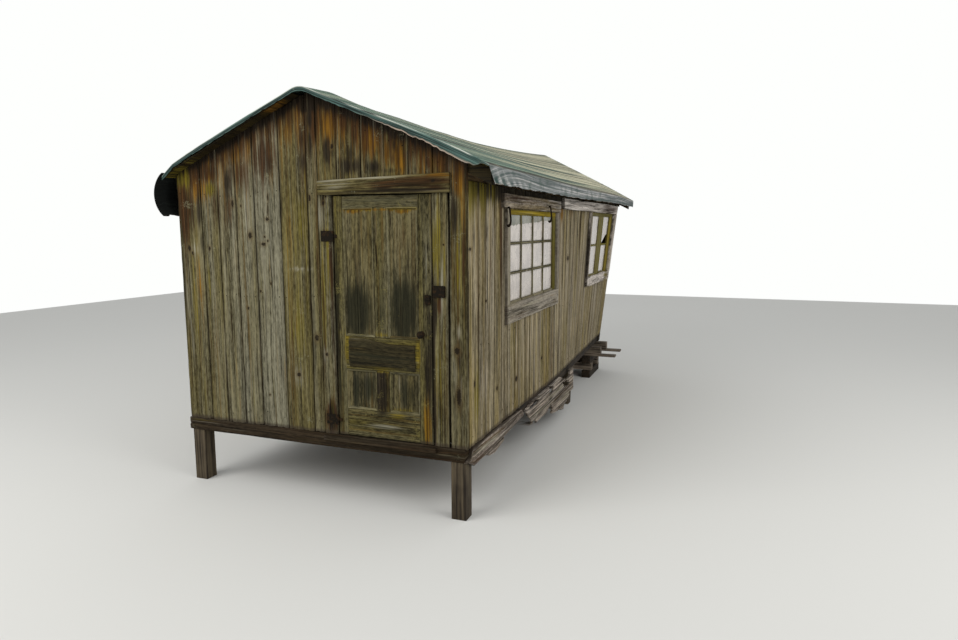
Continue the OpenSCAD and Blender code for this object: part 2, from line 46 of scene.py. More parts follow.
# The building's own frame: x across from the centre line, y back from the door gable, z up from the board feet
cornerLow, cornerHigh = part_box("corner_board")
house = {
    "halfWidth": 1.22,
    "length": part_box("back_wall")[1].y - cornerLow.y,
    "boardThickness": 0.02,
    "leanAngle": 6.6,
    "leanStart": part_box("right_wall_front")[1].y - cornerLow.y,
    "pivotHeight": 0.87,
    "plateHeight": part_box("top_plates")[1].z - cornerLow.z,
    "ridgeRise": 0.093,
    "pitch": 24.0,
    "eaveHeight": 1.965,
    "rake": 0.095,
    "overRight": 0.185,
    "overLeft": 0.045,
    "ridgeRadius": 0.15,
    "underRoof": 0.0311,
    "wallTop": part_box("right_wall_front")[1].z - cornerLow.z,
}
houseOrigin = np.array([cornerHigh.x - house["halfWidth"], cornerLow.y, cornerLow.z])
slope = math.tan(math.radians(house["pitch"]))
roofEnds = (-house["rake"], house["length"] + house["rake"])
roofEdges = (-house["halfWidth"] - house["overLeft"], house["halfWidth"] + house["overRight"])


def roofHeight(x):
    return house["eaveHeight"] + (house["halfWidth"] - np.abs(x)) * slope


def racked(x, y, z):
    # where a point of the straight building has gone: the lake end leans over and its ridge has risen
    share = np.maximum(0, (y - house["leanStart"]) / (house["length"] - house["leanStart"]))
    shift = (z - house["pivotHeight"]) * math.tan(math.radians(house["leanAngle"])) * share
    lift = np.maximum(0, z - house["plateHeight"]) / (roofHeight(0) - house["plateHeight"])
    return x + shift, y, z + house["ridgeRise"] * share ** 2 * lift


def nodeBox(name):
    # a node's box in the building's own frame
    low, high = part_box(name)
    return np.array(low) - houseOrigin, np.array(high) - houseOrigin


# Camera at the photograph's place
camera = {"from": (1.6381, -4.1344, 1.5165), "yaw": 20.643, "tilt": 7.798, "roll": -0.138, "lens": 25.08}
cameraData = bpy.data.cameras.new("photoCamera")
cameraData.lens = camera["lens"]
cameraData.sensor_width = 36
cameraObject = bpy.data.objects.new("photoCamera", cameraData)
scene.collection.objects.link(cameraObject)
cameraPlace = Matrix.Translation(Vector((cornerHigh.x, cornerLow.y, cornerLow.z)) + Vector(camera["from"]))
cameraTurn = (Matrix.Rotation(math.radians(camera["yaw"]), 4, "Z")
              @ Matrix.Rotation(math.radians(90 - camera["tilt"]), 4, "X")
              @ Matrix.Rotation(math.radians(camera["roll"]), 4, "Z"))
cameraObject.matrix_world = cameraPlace @ cameraTurn
scene.camera = cameraObject


# Small helpers for node trees; a new node goes into the tree of the group or material begun last
current = {"tree": None}


def addNode(kind, inputs=None, **settings):
    made = current["tree"].nodes.new(kind)
    for key, value in settings.items():
        setattr(made, key, value)
    for key, value in (inputs or {}).items():
        plug(value, made.inputs[key])
    return made


def plug(value, socket):
    if isinstance(value, bpy.types.NodeSocket):
        current["tree"].links.new(value, socket)
    else:
        socket.default_value = value


def calc(operation, first, second=0.5, third=0.0, clamp=False):
    return addNode("ShaderNodeMath", {0: first, 1: second, 2: third}, operation=operation, use_clamp=clamp).outputs[0]


def times(first, second):
    return calc("MULTIPLY", first, second)


def plus(first, second):
    return calc("ADD", first, second)


def minus(first, second):
    return calc("SUBTRACT", first, second)


def timesPlus(first, second, third, clamp=False):
    return calc("MULTIPLY_ADD", first, second, third, clamp)


def remap(value, low, high, toLow=0.0, toHigh=1.0):
    return addNode("ShaderNodeMapRange", {0: value, 1: low, 2: high, 3: toLow, 4: toHigh},
                   interpolation_type="SMOOTHSTEP").outputs[0]


def fall(value, low, high):
    # 1 below the low value and 0 above the high one
    return minus(1.0, remap(value, low, high))


def blendColour(factor, first, second, kind="MIX"):
    return addNode("ShaderNodeMix", {0: factor, 6: first, 7: second}, data_type="RGBA", blend_type=kind).outputs[2]


def cover(base, colour, mask, amount):
    return blendColour(times(mask, amount), base, colour)


def stretch(vector, scale, shift=(0, 0, 0)):
    return addNode("ShaderNodeMapping", {"Vector": vector, "Scale": scale, "Location": shift}).outputs[0]


def noise(vector, scale=1.0, detail=3.0, rough=0.55):
    return addNode("ShaderNodeTexNoise", {"Vector": vector, "Scale": scale, "Detail": detail, "Roughness": rough,
                                          "Distortion": 0.0}).outputs[0]


def streaks(vector, scale, shift=(0, 0, 0), **changes):
    return noise(stretch(vector, scale, shift), **changes)


def pushed(vector, amount):
    # the same place, moved across the board
    push = addNode("ShaderNodeCombineXYZ", {0: amount})
    return addNode("ShaderNodeVectorMath", {0: vector, 1: push.outputs[0]}, operation="ADD").outputs[0]


def tint(red, green, blue):
    # a colour given as 0 to 255 display values
    levels = [c / 255 for c in (red, green, blue)]
    return tuple(c / 12.92 if c <= 0.04045 else ((c + 0.055) / 1.055) ** 2.4 for c in levels) + (1.0,)


def openGroup(name, **inputs):
    # an input given as None is a vector; the others are numbers with that default
    current["tree"] = group = bpy.data.node_groups.new(name, "ShaderNodeTree")
    for label, value in inputs.items():
        kind = "NodeSocketVector" if value is None else "NodeSocketFloat"
        socket = group.interface.new_socket(label, in_out="INPUT", socket_type=kind)
        if value is not None:
            socket.default_value = value
    return group.nodes.new("NodeGroupInput").outputs


def closeGroup(**outputs):
    group = current["tree"]
    for label in outputs:
        group.interface.new_socket(label, in_out="OUTPUT", socket_type="NodeSocketFloat")
    end = group.nodes.new("NodeGroupOutput").inputs
    for label, value in outputs.items():
        plug(value, end[label])
    return group


def useGroup(group, inputs):
    return addNode("ShaderNodeGroup", inputs, node_tree=group).outputs


def buildGrainGroup():
    # long grain of a sawn board: fine lines, streaks, broad bands and drying checks
    source = openGroup("boardGrain", Board=None, Checks=0.5)
    bent = pushed(source["Board"], times(streaks(source["Board"], (5, 1.1, 1), detail=2), 0.04))
    fine = streaks(bent, (290, 5, 1), detail=3, rough=0.65)
    streak = streaks(bent, (72, 1.0, 1), detail=5, rough=0.68)
    broad = streaks(bent, (17, 0.42, 1), (2, 4, 6), detail=3, rough=0.6)
    fleck = streaks(source["Board"], (85, 19, 1), (6, 2, 9), detail=3, rough=0.7)
    where = streaks(bent, (15, 1.3, 1), (7, 5, 2), detail=2)
    width = remap(where, timesPlus(source["Checks"], -0.4, 0.72), 0.8)
    check = None
    for scale, thick in (((110, 1.4, 1), 0.09), ((34, 0.5, 1), 0.075)):
        line = calc("ABSOLUTE", minus(streaks(bent, scale, (3, 1, 0), detail=1), 0.5))
        line = times(fall(line, 0.0, times(width, thick)), remap(width, 0.02, 0.3))
        check = line if check is None else calc("MAXIMUM", check, line)
    height = minus(timesPlus(fine, 0.35, times(streak, 0.6)), check)
    return closeGroup(Fine=fine, Streak=streak, Broad=broad, Fleck=fleck, Check=check, Height=height)


def buildKnotGroup():
    # dark knots, longer than wide, in some of the cells only
    source = openGroup("boardKnots", Board=None, Amount=0.4)
    wobble = streaks(source["Board"], (40, 22, 1), detail=3)
    cells = addNode("ShaderNodeTexVoronoi", {"Vector": stretch(source["Board"], (6.5, 3.1, 1)), "Scale": 1.0,
                                             "Randomness": 1.0}, voronoi_dimensions="3D")
    near = plus(cells.outputs["Distance"], times(minus(wobble, 0.5), 0.12))
    parts = addNode("ShaderNodeSeparateColor", {0: cells.outputs["Color"]})
    chosen = calc("LESS_THAN", parts.outputs[0], source["Amount"])
    size = timesPlus(parts.outputs[1], 0.07, 0.04)
    core = fall(near, times(size, 0.7), size)
    halo = fall(near, size, times(size, 3.2))
    return closeGroup(Core=times(core, chosen), Halo=times(halo, chosen))


def buildStainGroup():
    # a soft patch torn into streaks along the grain
    source = openGroup("stain", Board=None, Amount=0.0, Tear=1.0)
    thin = streaks(source["Board"], (75, 1.7, 1), (5, 3, 1), detail=3, rough=0.62)
    wide = streaks(source["Board"], (26, 1.1, 1), (2, 8, 4), detail=2)
    torn = times(minus(timesPlus(thin, 0.5, times(wide, 0.5)), 0.5), source["Tear"])
    return closeGroup(Mask=remap(plus(source["Amount"], torn), 0.18, 0.88), Tone=remap(thin, 0.36, 0.64))


def buildSpeckleGroup():
    # patches broken up into specks, for lichen, mould and flaked paint
    source = openGroup("speckle", Place=None, Scale=60.0, Amount=0.4)
    patches = noise(source["Place"], 7.0, detail=3)
    specks = noise(source["Place"], source["Scale"], detail=4, rough=0.7)
    both = timesPlus(patches, 0.6, times(specks, 0.5))
    edge = timesPlus(source["Amount"], -0.4, 0.75)
    return closeGroup(Mask=remap(both, edge, plus(edge, 0.06)))


grainGroup = buildGrainGroup()
knotGroup = buildKnotGroup()
stainGroup = buildStainGroup()
speckleGroup = buildSpeckleGroup()


def newMaterial(name, rough=0.9, shine=0.5):
    material = bpy.data.materials.new(name)
    material.use_nodes = True
    current["tree"] = material.node_tree
    shader = material.node_tree.nodes["Principled BSDF"]
    shader.inputs["Roughness"].default_value = rough
    shader.inputs["Specular IOR Level"].default_value = shine
    return material, shader


def bump(shader, height, strength, distance=0.002):
    made = addNode("ShaderNodeBump", {"Height": height, "Strength": strength, "Distance": distance})
    plug(made.outputs[0], shader.inputs["Normal"])


def vectorInput(name, split=True):
    # a vector that the builder stored on each vertex
    made = addNode("ShaderNodeAttribute", attribute_name=name).outputs["Vector"]
    return addNode("ShaderNodeSeparateXYZ", {0: made}).outputs if split else made


def grey(value):
    return addNode("ShaderNodeCombineColor", {0: value, 1: value, 2: value}).outputs[0]


def placedKnots(face, marks):
    # knots at given places on a wall: middle and half sizes of each
    wobble = minus(noise(face, 120.0, detail=3), 0.5)
    nearest = None
    for across, height, halfAcross, halfHeight in marks:
        local = stretch(face, (1 / halfAcross, 1 / halfHeight, 1), (-across / halfAcross, -height / halfHeight, 0))
        distance = addNode("ShaderNodeVectorMath", {0: local}, operation="LENGTH").outputs["Value"]
        nearest = distance if nearest is None else calc("MINIMUM", nearest, distance)
    nearest = timesPlus(wobble, 1.5, nearest)
    return fall(nearest, 0.55, 1.05), fall(nearest, 0.9, 2.3)


def newLook(base, **changes):
    # a look's values by name; three numbers in brackets are a colour
    return {**base, **{key: tint(*value) if isinstance(value, tuple) else value for key, value in changes.items()}}


stainKinds = ("gold", "brown", "black", "yellow", "pale", "mould")


def boardMaterial(name, look, marks=()):
    # bare weathered boards; look holds the colours and how far each kind of ageing has gone
    material, shader = newMaterial(name, shine=0.07)
    board = vectorInput("boardPlace", False)
    face = vectorInput("boardFace", False)
    tone, wear = vectorInput("boardTone"), vectorInput("boardWear")
    stains = list(vectorInput("stainFirst")) + list(vectorInput("stainSecond"))
    grain = useGroup(grainGroup, {"Board": board, "Checks": look["checks"]})
    # how light the wood is: each board's own tone, broad bands, streaks and fine lines
    level = timesPlus(minus(tone[0], 0.5), 0.8, 0.5)
    for key, weight in (("Broad", look["broad"]), ("Streak", look["streaks"]), ("Fine", look["fine"]),
                        ("Fleck", look["grainy"])):
        level = timesPlus(minus(grain[key], 0.5), weight, level)
    level = calc("MAXIMUM", calc("MINIMUM", level, 1.15), -0.1)
    hues = streaks(board, (13, 0.6, 1), (9, 2, 6), detail=4, rough=0.6)
    hue = timesPlus(minus(hues, 0.5), 2.6, tone[1], clamp=True)
    cool = blendColour(level, look["greyDark"], look["greyLight"])
    warm = blendColour(level, look["warmDark"], look["warmLight"])
    base = blendColour(hue, cool, warm)
    rusty = remap(streaks(board, (38, 0.5, 1), (1, 7, 3), detail=3, rough=0.6), 0.56, 0.66)
    base = cover(base, look["ochre"], rusty, look["ochreAmount"])
    # stains on the wall as a whole, with the painted shade and painted shadow lines given among them
    shade = remap(grain["Streak"], 0.3, 0.7, 0.6, 1.4)
    for k, kind in enumerate(stainKinds):
        stain = useGroup(stainGroup, {"Board": stretch(board, (1, 1, 1), (k, 3 * k, 2 * k)), "Amount": stains[k],
                                      "Tear": look["tear"]})
        colour = blendColour(stain["Tone"], look[kind + "Dark"], look[kind])
        colour = blendColour(1.0, colour, grey(shade), "MULTIPLY")
        base = cover(base, colour, stain["Mask"], look["stainAmount"])
    # knots and checks
    knots = useGroup(knotGroup, {"Board": board, "Amount": look["knots"]})
    base = cover(base, look["knotHalo"], knots["Halo"], 0.35)
    base = cover(base, look["knotCore"], knots["Core"], 0.9)
    knotHeight = knots["Core"]
    if marks:
        core, halo = placedKnots(face, marks)
        base = cover(base, look["knotHalo"], halo, 0.4)
        base = cover(base, look["knotCore"], core, 0.92)
        knotHeight = calc("MAXIMUM", knotHeight, core)
    base = cover(base, look["check"], grain["Check"], 0.8)
    # damp foot, lichen, and dirt or wear along the edges
    damp = useGroup(stainGroup, {"Board": board, "Amount": fall(wear[2], 0.0, look["footReach"]),
                                 "Tear": 1.2})["Mask"]
    base = cover(base, look["foot"], damp, 0.7)
    lichen = useGroup(speckleGroup, {"Place": board, "Scale": 90.0, "Amount": look["lichenAmount"]})["Mask"]
    base = cover(base, look["lichen"], lichen, 0.55)
    sides = streaks(board, (9, 0.8, 1), (4, 4, 4), detail=3)
    dirty = times(wear[0], remap(sides, 0.4, 0.5))
    base = cover(base, look["check"], dirty, look["edgeDirt"])
    worn = times(wear[0], fall(sides, 0.36, 0.44))
    base = cover(base, look["edge"], worn, 0.4)
    plug(base, shader.inputs["Base Color"])
    plug(remap(grain["Fine"], 0.2, 0.8, 0.84, 0.97), shader.inputs["Roughness"])
    bump(shader, timesPlus(knotHeight, 0.4, grain["Height"]), 0.9, 0.0022)
    return material


plainLook = newLook(
    {}, greyDark=(50, 47, 34), greyLight=(136, 132, 112), warmDark=(48, 42, 23), warmLight=(118, 109, 70),
    ochre=(92, 72, 34), ochreAmount=0.5, gold=(128, 90, 24), goldDark=(78, 52, 18), brown=(66, 43, 24),
    brownDark=(36, 25, 16), black=(40, 34, 27), blackDark=(20, 17, 14), yellow=(116, 104, 34),
    yellowDark=(78, 70, 28), pale=(146, 142, 124), paleDark=(110, 104, 86), mould=(50, 48, 34),
    mouldDark=(24, 26, 19), stainAmount=0.92, tear=2.6, knotCore=(30, 24, 18), knotHalo=(84, 68, 40),
    check=(34, 28, 19), foot=(62, 54, 46), footReach=0.05, lichen=(126, 124, 98), lichenAmount=0.2,
    edge=(146, 138, 114), edgeDirt=0.75, checks=0.5, knots=0.05, broad=1.3, streaks=2.3, fine=1.4, grainy=1.6)
sideLook = newLook(
    plainLook, greyDark=(78, 71, 56), greyLight=(168, 158, 138), warmDark=(72, 62, 34), warmLight=(154, 138, 92),
    pale=(166, 156, 138), paleDark=(104, 94, 76), checks=0.7, broad=1.5, streaks=3.2, ochreAmount=0.55,
    edgeDirt=0.6)
casingLook = newLook(
    plainLook, greyDark=(98, 91, 82), greyLight=(152, 145, 133), warmDark=(90, 80, 64), warmLight=(142, 131, 110),
    checks=0.7, broad=0.8, streaks=1.8, grainy=2.2, stainAmount=0.7, edgeDirt=0.15)
raggedLook = newLook(
    casingLook, pale=(226, 218, 210), paleDark=(172, 163, 155), greyDark=(116, 108, 102),
    greyLight=(216, 207, 199), warmDark=(70, 60, 42), warmLight=(132, 117, 88), checks=0.9, grainy=3.0,
    stainAmount=0.92)
headerLook = newLook(plainLook, greyDark=(72, 62, 38), greyLight=(124, 112, 76), checks=0.7)
silverLook = newLook(
    plainLook, greyDark=(84, 77, 71), greyLight=(200, 191, 180), warmDark=(80, 68, 60), warmLight=(180, 165, 150),
    checks=1.0, footReach=0.01, foot=(84, 76, 68), broad=1.6, streaks=3.4)
# Knots that show on the door gable and on the window side
frontKnots = [
    (-1.13, 1.37, 0.016, 0.03), (-1.10, 1.33, 0.01, 0.02), (-0.93, 1.37, 0.012, 0.02), (-0.69, 1.71, 0.014, 0.03),
    (-0.613, 1.69, 0.008, 0.012), (-0.54, 1.47, 0.02, 0.03), (-0.378, 1.59, 0.017, 0.016),
    (-0.407, 1.46, 0.01, 0.009), (-0.42, 1.405, 0.024, 0.016), (-0.38, 1.43, 0.01, 0.01),
    (-0.467, 1.05, 0.01, 0.012), (-0.37, 1.11, 0.006, 0.012), (-0.423, 0.25, 0.008, 0.009),
    (-0.59, 0.916, 0.012, 0.014), (-0.15, 0.43, 0.02, 0.02), (0.0, 1.737, 0.012, 0.03), (0.02, 0.72, 0.02, 0.03),
    (0.135, 1.745, 0.008, 0.008), (0.112, 1.70, 0.014, 0.016), (0.102, 0.6, 0.014, 0.018),
    (0.2, 2.09, 0.014, 0.02), (1.047, 1.41, 0.008, 0.008), (1.153, 0.37, 0.02, 0.075), (1.14, 0.69, 0.022, 0.03),
    (-0.364, 1.75, 0.007, 0.03), (-0.37, 1.66, 0.005, 0.06)]
sideKnots = [
    (0.04, 1.38, 0.03, 0.014), (1.1, 0.27, 0.04, 0.03), (0.12, 0.44, 0.02, 0.03), (0.36, 1.0, 0.02, 0.012),
    (0.6, 0.3, 0.02, 0.02), (2.9, 1.2, 0.05, 0.03), (1.9, 0.3, 0.03, 0.02)]
frontMaterial = boardMaterial("frontBoards", plainLook, frontKnots)
sideMaterial = boardMaterial("sideBoards", sideLook, sideKnots)
casingMaterial = boardMaterial("casingBoards", casingLook)
raggedMaterial = boardMaterial("raggedCasing", raggedLook)
headerMaterial = boardMaterial("headerBoard", headerLook)
silverMaterial = boardMaterial("silverPlank", silverLook)
print("materials made")


# Value noise for the shapes
def latticeValue(i, j, seed):
    value = np.sin(i * 127.1 + j * 311.7 + seed * 74.7) * 43758.5453
    return value - np.floor(value)


def softNoise(x, seed, y=0.0):
    # smooth noise between -1 and 1
    i, j = np.floor(x), np.floor(y)
    s, t = x - i, y - j
    s, t = s * s * (3 - 2 * s), t * t * (3 - 2 * t)
    low = latticeValue(i, j, seed) * (1 - s) + latticeValue(i + 1, j, seed) * s
    high = latticeValue(i, j + 1, seed) * (1 - s) + latticeValue(i + 1, j + 1, seed) * s
    return (low * (1 - t) + high * t) * 2 - 1


def grid(x, y, z):
    return np.stack(np.broadcast_arrays(x, y, z), -1)


def pairs(items):
    return list(zip(items[:-1], items[1:]))


def newBatch(plane=0, stains=None):
    # plane 0 looks along the building and plane 1 across it; stains are given in that plane
    return {"points": [], "faces": [], "place": [], "tone": [], "wear": [], "count": 0, "plane": plane,
            "stains": stains}


boardShape = {
    "column": 0.012,      # spacing of the mesh columns
    "ring": 0.035,        # spacing of the mesh rings
    "rounding": 0.0025,   # worn corners of the long edges
    "wander": 0.0025,     # how far the long edges stray
    "relief": 0.0009,     # raised grain
    "cup": 0.0015,        # hollow of the face
    "ragged": 0.006,      # unevenness of sawn ends
    "gap": 0.005,         # joint between neighbours
    "edgeReach": 0.006,   # how far the dirt of the joints reaches
    "bow": 0.0012,        # how far a board bends over its length
    "endWear": 0.0016,    # how far the face has worn back at the sawn ends
    "endReach": 0.012,    # how far from the ends
    "splitWidth": 0.002,  # half width and depth of an open split
    "splitDepth": 0.009,
    "splitStray": 0.006,
}


def addBoard(batch, mapping, across, along, thickness, seed, tone, warm, offset=0.0, dropFrom=None, riseFrom=0.0,
             splits=(), **changes):
    # mapping turns across, along and out into the building's own frame; a split has a place across the board,
    # a length, and whether it starts at the top
    shape = {**boardShape, **changes}
    gap = shape["gap"]
    a0, a1 = across[0] + gap / 2, across[1] - gap / 2
    width = a1 - a0
    low, high = along
    lowAt = low if callable(low) else (lambda a: low + 0 * a)
    highAt = high if callable(high) else (lambda a: high + 0 * a)
    longest = float(np.max(highAt(np.array([a0, a1])) - lowAt(np.array([a0, a1]))))
    columnCount = max(4, int(width / shape["column"]))
    ringCount = max(3, int(longest / shape["ring"]) + 1)
    rounding = min(shape["rounding"], width / 6, thickness / 3)
    # columns across the face: the two edges, the rounding and the plain face, then three for each split
    plain = [rounding + (width - 2 * rounding) * k / (columnCount - 1) for k in range(columnCount)]
    columns = [(c, None, 0) for c in [0.0] + plain + [width]]
    for number, place in enumerate(split[0] for split in splits):
        columns += [(place * width + side * 1e-5, number, side) for side in (-1, 0, 1)]
    columns.sort(key=lambda c: c[0])
    base = np.array([c[0] for c in columns])
    t = np.linspace(0, 1, ringCount)[:, None]
    a = a0 + base[None, :] + 0 * t
    lowLine, highLine = lowAt(a), highAt(a)
    rag = shape["ragged"]
    lowLine = lowLine + rag * (0.6 * softNoise(a * 90, seed + 11) + 0.5 * softNoise(a * 9, seed + 12))
    highLine = highLine - rag * 0.4 * (1 + softNoise(a * 70, seed + 13))
    b = lowLine + t * (highLine - lowLine)
    share = base[None, :] / width
    wander = shape["wander"]
    left = wander * softNoise(b * 3.1, seed + 1) + 0.4 * wander * softNoise(b * 17, seed + 3)
    right = wander * softNoise(b * 2.7, seed + 2) + 0.4 * wander * softNoise(b * 19, seed + 4)
    a = a + np.maximum(left, -gap / 2) * (1 - share) + np.minimum(right, gap / 2) * share
    out = (shape["cup"] * softNoise(b * 0.4, seed + 5, 3.0) * ((2 * share - 1) ** 2 - 0.4)
           + shape["relief"] * softNoise(a * 95, seed + 6, b * 2.2)
           + shape["relief"] * 0.7 * softNoise(a * 210, seed + 7, b * 5)
           + shape["bow"] * softNoise(b * 1.1, seed + 8))
    edge = np.minimum(base, width - base)
    out = out - rounding * (1 - np.clip(edge / rounding, 0, 1))[None, :] ** 2
    # the end grain has worn back
    fromEnd = np.minimum(b - lowLine, highLine - b)
    out = out - shape["endWear"] * np.exp(-fromEnd / shape["endReach"])
    for number, (place, reach, fromTop) in enumerate(splits):
        distance = (highLine - b) if fromTop else (b - lowLine)
        opening = np.clip(1 - distance / reach, 0, 1) ** 0.6
        for k, (c, owner, side) in enumerate(columns):
            if owner == number:
                path = shape["splitStray"] * softNoise(b[:, k] * 4, seed + 20 + number)
                a[:, k] = a0 + place * width + path + side * (0.0004 + shape["splitWidth"] * opening[:, k])
                if side == 0:
                    out[:, k] -= shape["splitDepth"] * opening[:, k]
    rise = b - riseFrom
    drop = (dropFrom(a) if callable(dropFrom) else (highLine if dropFrom is None else dropFrom)) - b
    wornEdge = np.exp(-edge / shape["edgeReach"])[None, :] + 0 * b
    outer = grid(*mapping(a, b, out + offset))
    inner = grid(*mapping(a, b, 0 * out + offset - thickness))
    place = grid(a - a0 + 0.731 * seed, b + 0.377 * seed, 1.7 * seed)
    addShell(batch, outer, inner, place, grid(wornEdge, drop, rise), [tone, warm, seed % 1.0])


def addShell(batch, outer, inner, place, wear, tone=(0.5, 0.5, 0.0)):
    # a closed skin between two grids of points
    rings, count = outer.shape[:2]
    ids = np.arange(rings * count).reshape(rings, count) + batch["count"]
    inside = ids + rings * count
    batch["faces"] += [
        np.stack([ids[:-1, :-1], ids[:-1, 1:], ids[1:, 1:], ids[1:, :-1]], -1).reshape(-1, 4),
        np.stack([inside[:-1, :-1], inside[1:, :-1], inside[1:, 1:], inside[:-1, 1:]], -1).reshape(-1, 4),
        np.stack([ids[:-1, 0], ids[1:, 0], inside[1:, 0], inside[:-1, 0]], -1),
        np.stack([ids[:-1, -1], inside[:-1, -1], inside[1:, -1], ids[1:, -1]], -1),
        np.stack([ids[0, :-1], inside[0, :-1], inside[0, 1:], ids[0, 1:]], -1),
        np.stack([ids[-1, :-1], ids[-1, 1:], inside[-1, 1:], inside[-1, :-1]], -1)]
    batch["points"] += [outer.reshape(-1, 3), inner.reshape(-1, 3)]
    batch["place"] += [place.reshape(-1, 3)] * 2
    batch["wear"] += [wear.reshape(-1, 3)] * 2
    batch["tone"].append(np.tile(tone, (2 * rings * count, 1)))
    batch["count"] += 2 * rings * count


stainFade = 0.7   # how fast a stain dies away towards its half sizes


def stainFields(face, stains):
    # how strongly each kind of stain or painted shade takes hold at each place: the strongest of its patches
    fields = np.zeros((len(face), len(stainKinds)))
    for k, kind in enumerate(stainKinds):
        for across, height, halfAcross, halfHeight, amount in stains.get(kind, ()):
            reach = ((face[:, 0] - across) / halfAcross) ** 2 + ((face[:, 1] - height) / halfHeight) ** 2
            fields[:, k] = np.maximum(fields[:, k], amount * np.exp(-stainFade * reach))
        # a band below a line such as the roof edge or the wall top: painted shade under the roofing, with real stain in
        # some kinds
        if kind in stains.get("under", {}):
            line, depth, amount = stains["under"][kind]
            below = np.maximum(line(face[:, 0]) - face[:, 1], 0) / depth
            fields[:, k] = np.maximum(fields[:, k], amount * np.exp(-stainFade * below ** 2))
    return fields


def newPiece(name, mesh):
    piece = bpy.data.objects.new(name, mesh)
    scene.collection.objects.link(piece)
    return piece


def finishBatch(batch, name, material, slotName, body, *replaced):
    points = np.concatenate(batch["points"])
    faces = np.concatenate(batch["faces"])
    mesh = bpy.data.meshes.new(name)
    mesh.from_pydata((points + houseOrigin).tolist(), [], faces.tolist())
    face = grid(points[:, batch["plane"]], points[:, 2], 0)
    layers = {"boardPlace": np.concatenate(batch["place"]), "boardTone": np.concatenate(batch["tone"]),
              "boardWear": np.concatenate(batch["wear"]), "boardFace": face}
    if batch["stains"]:
        fields = stainFields(face, batch["stains"])
        layers["stainFirst"], layers["stainSecond"] = fields[:, :3], fields[:, 3:]
    for label, values in layers.items():
        attribute = mesh.attributes.new(label, "FLOAT_VECTOR", "POINT")
        attribute.data.foreach_set("vector", values.astype(np.float32).ravel())
    work = bmesh.new()
    work.from_mesh(mesh)
    bmesh.ops.recalc_face_normals(work, faces=work.faces)
    work.to_mesh(mesh)
    work.free()
    finishPiece(newPiece(name, mesh), material, slotName, body, *replaced)


def finishPiece(piece, material, slotName, body, *replaced):
    piece.data.materials.clear()
    piece.data.materials.append(material)
    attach(piece, body)
    if replaced:
        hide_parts(*replaced)


# Mappings from board coordinates to the building's own frame
def onFront(a, b, out):
    return a, -out, b


def onFrontFlat(a, b, out):
    # the board runs across the gable
    return b, -out, a


def onBack(a, b, out):
    x, _, z = racked(a, house["length"], b)
    return x, house["length"] + out, z


def onSide(side, middle=None):
    # upright boards on the right or left wall, each with its own lean
    def mapping(a, b, out):
        x, _, z = racked(side * (house["halfWidth"] + out), a if middle is None else middle, b)
        return x, a, z
    return mapping


def onSideFlat(side):
    # boards that run along the wall and follow its lean
    def mapping(a, b, out):
        return racked(side * (house["halfWidth"] + out), b, a)
    return mapping


def underRoof(x):
    return roofHeight(x) - house["underRoof"]


def roofLift(x, y=-0.095):
    # the roofing stands above a straight slope: on the right all along, on the left at the rake only
    right = np.interp(x, [0.0, 0.2, 0.4, 0.6, 0.8, 1.0, 1.2, 1.35, 1.405],
                      [0.0, 0.006, 0.016, 0.028, 0.04, 0.048, 0.048, 0.042, 0.036])
    left = np.interp(x, [-1.265, -1.218, -1.155, -1.01, -0.83, -0.61, -0.35, -0.15, 0.0],
                     [-0.024, -0.006, 0.016, 0.022, 0.02, 0.016, 0.01, 0.002, 0.0])
    return right * np.interp(y, [4.5, 5.6], [1.0, 0.4]) + left * np.clip(1 - (y + house["rake"]) / 0.6, 0, 1)


def frontTop(x):
    return underRoof(x) + roofLift(x)


def roll(number, count):
    # chance values between 0 and 1 that belong to a number
    return [float(latticeValue(number * 3.3, n, 2.0)) for n in range(count)]
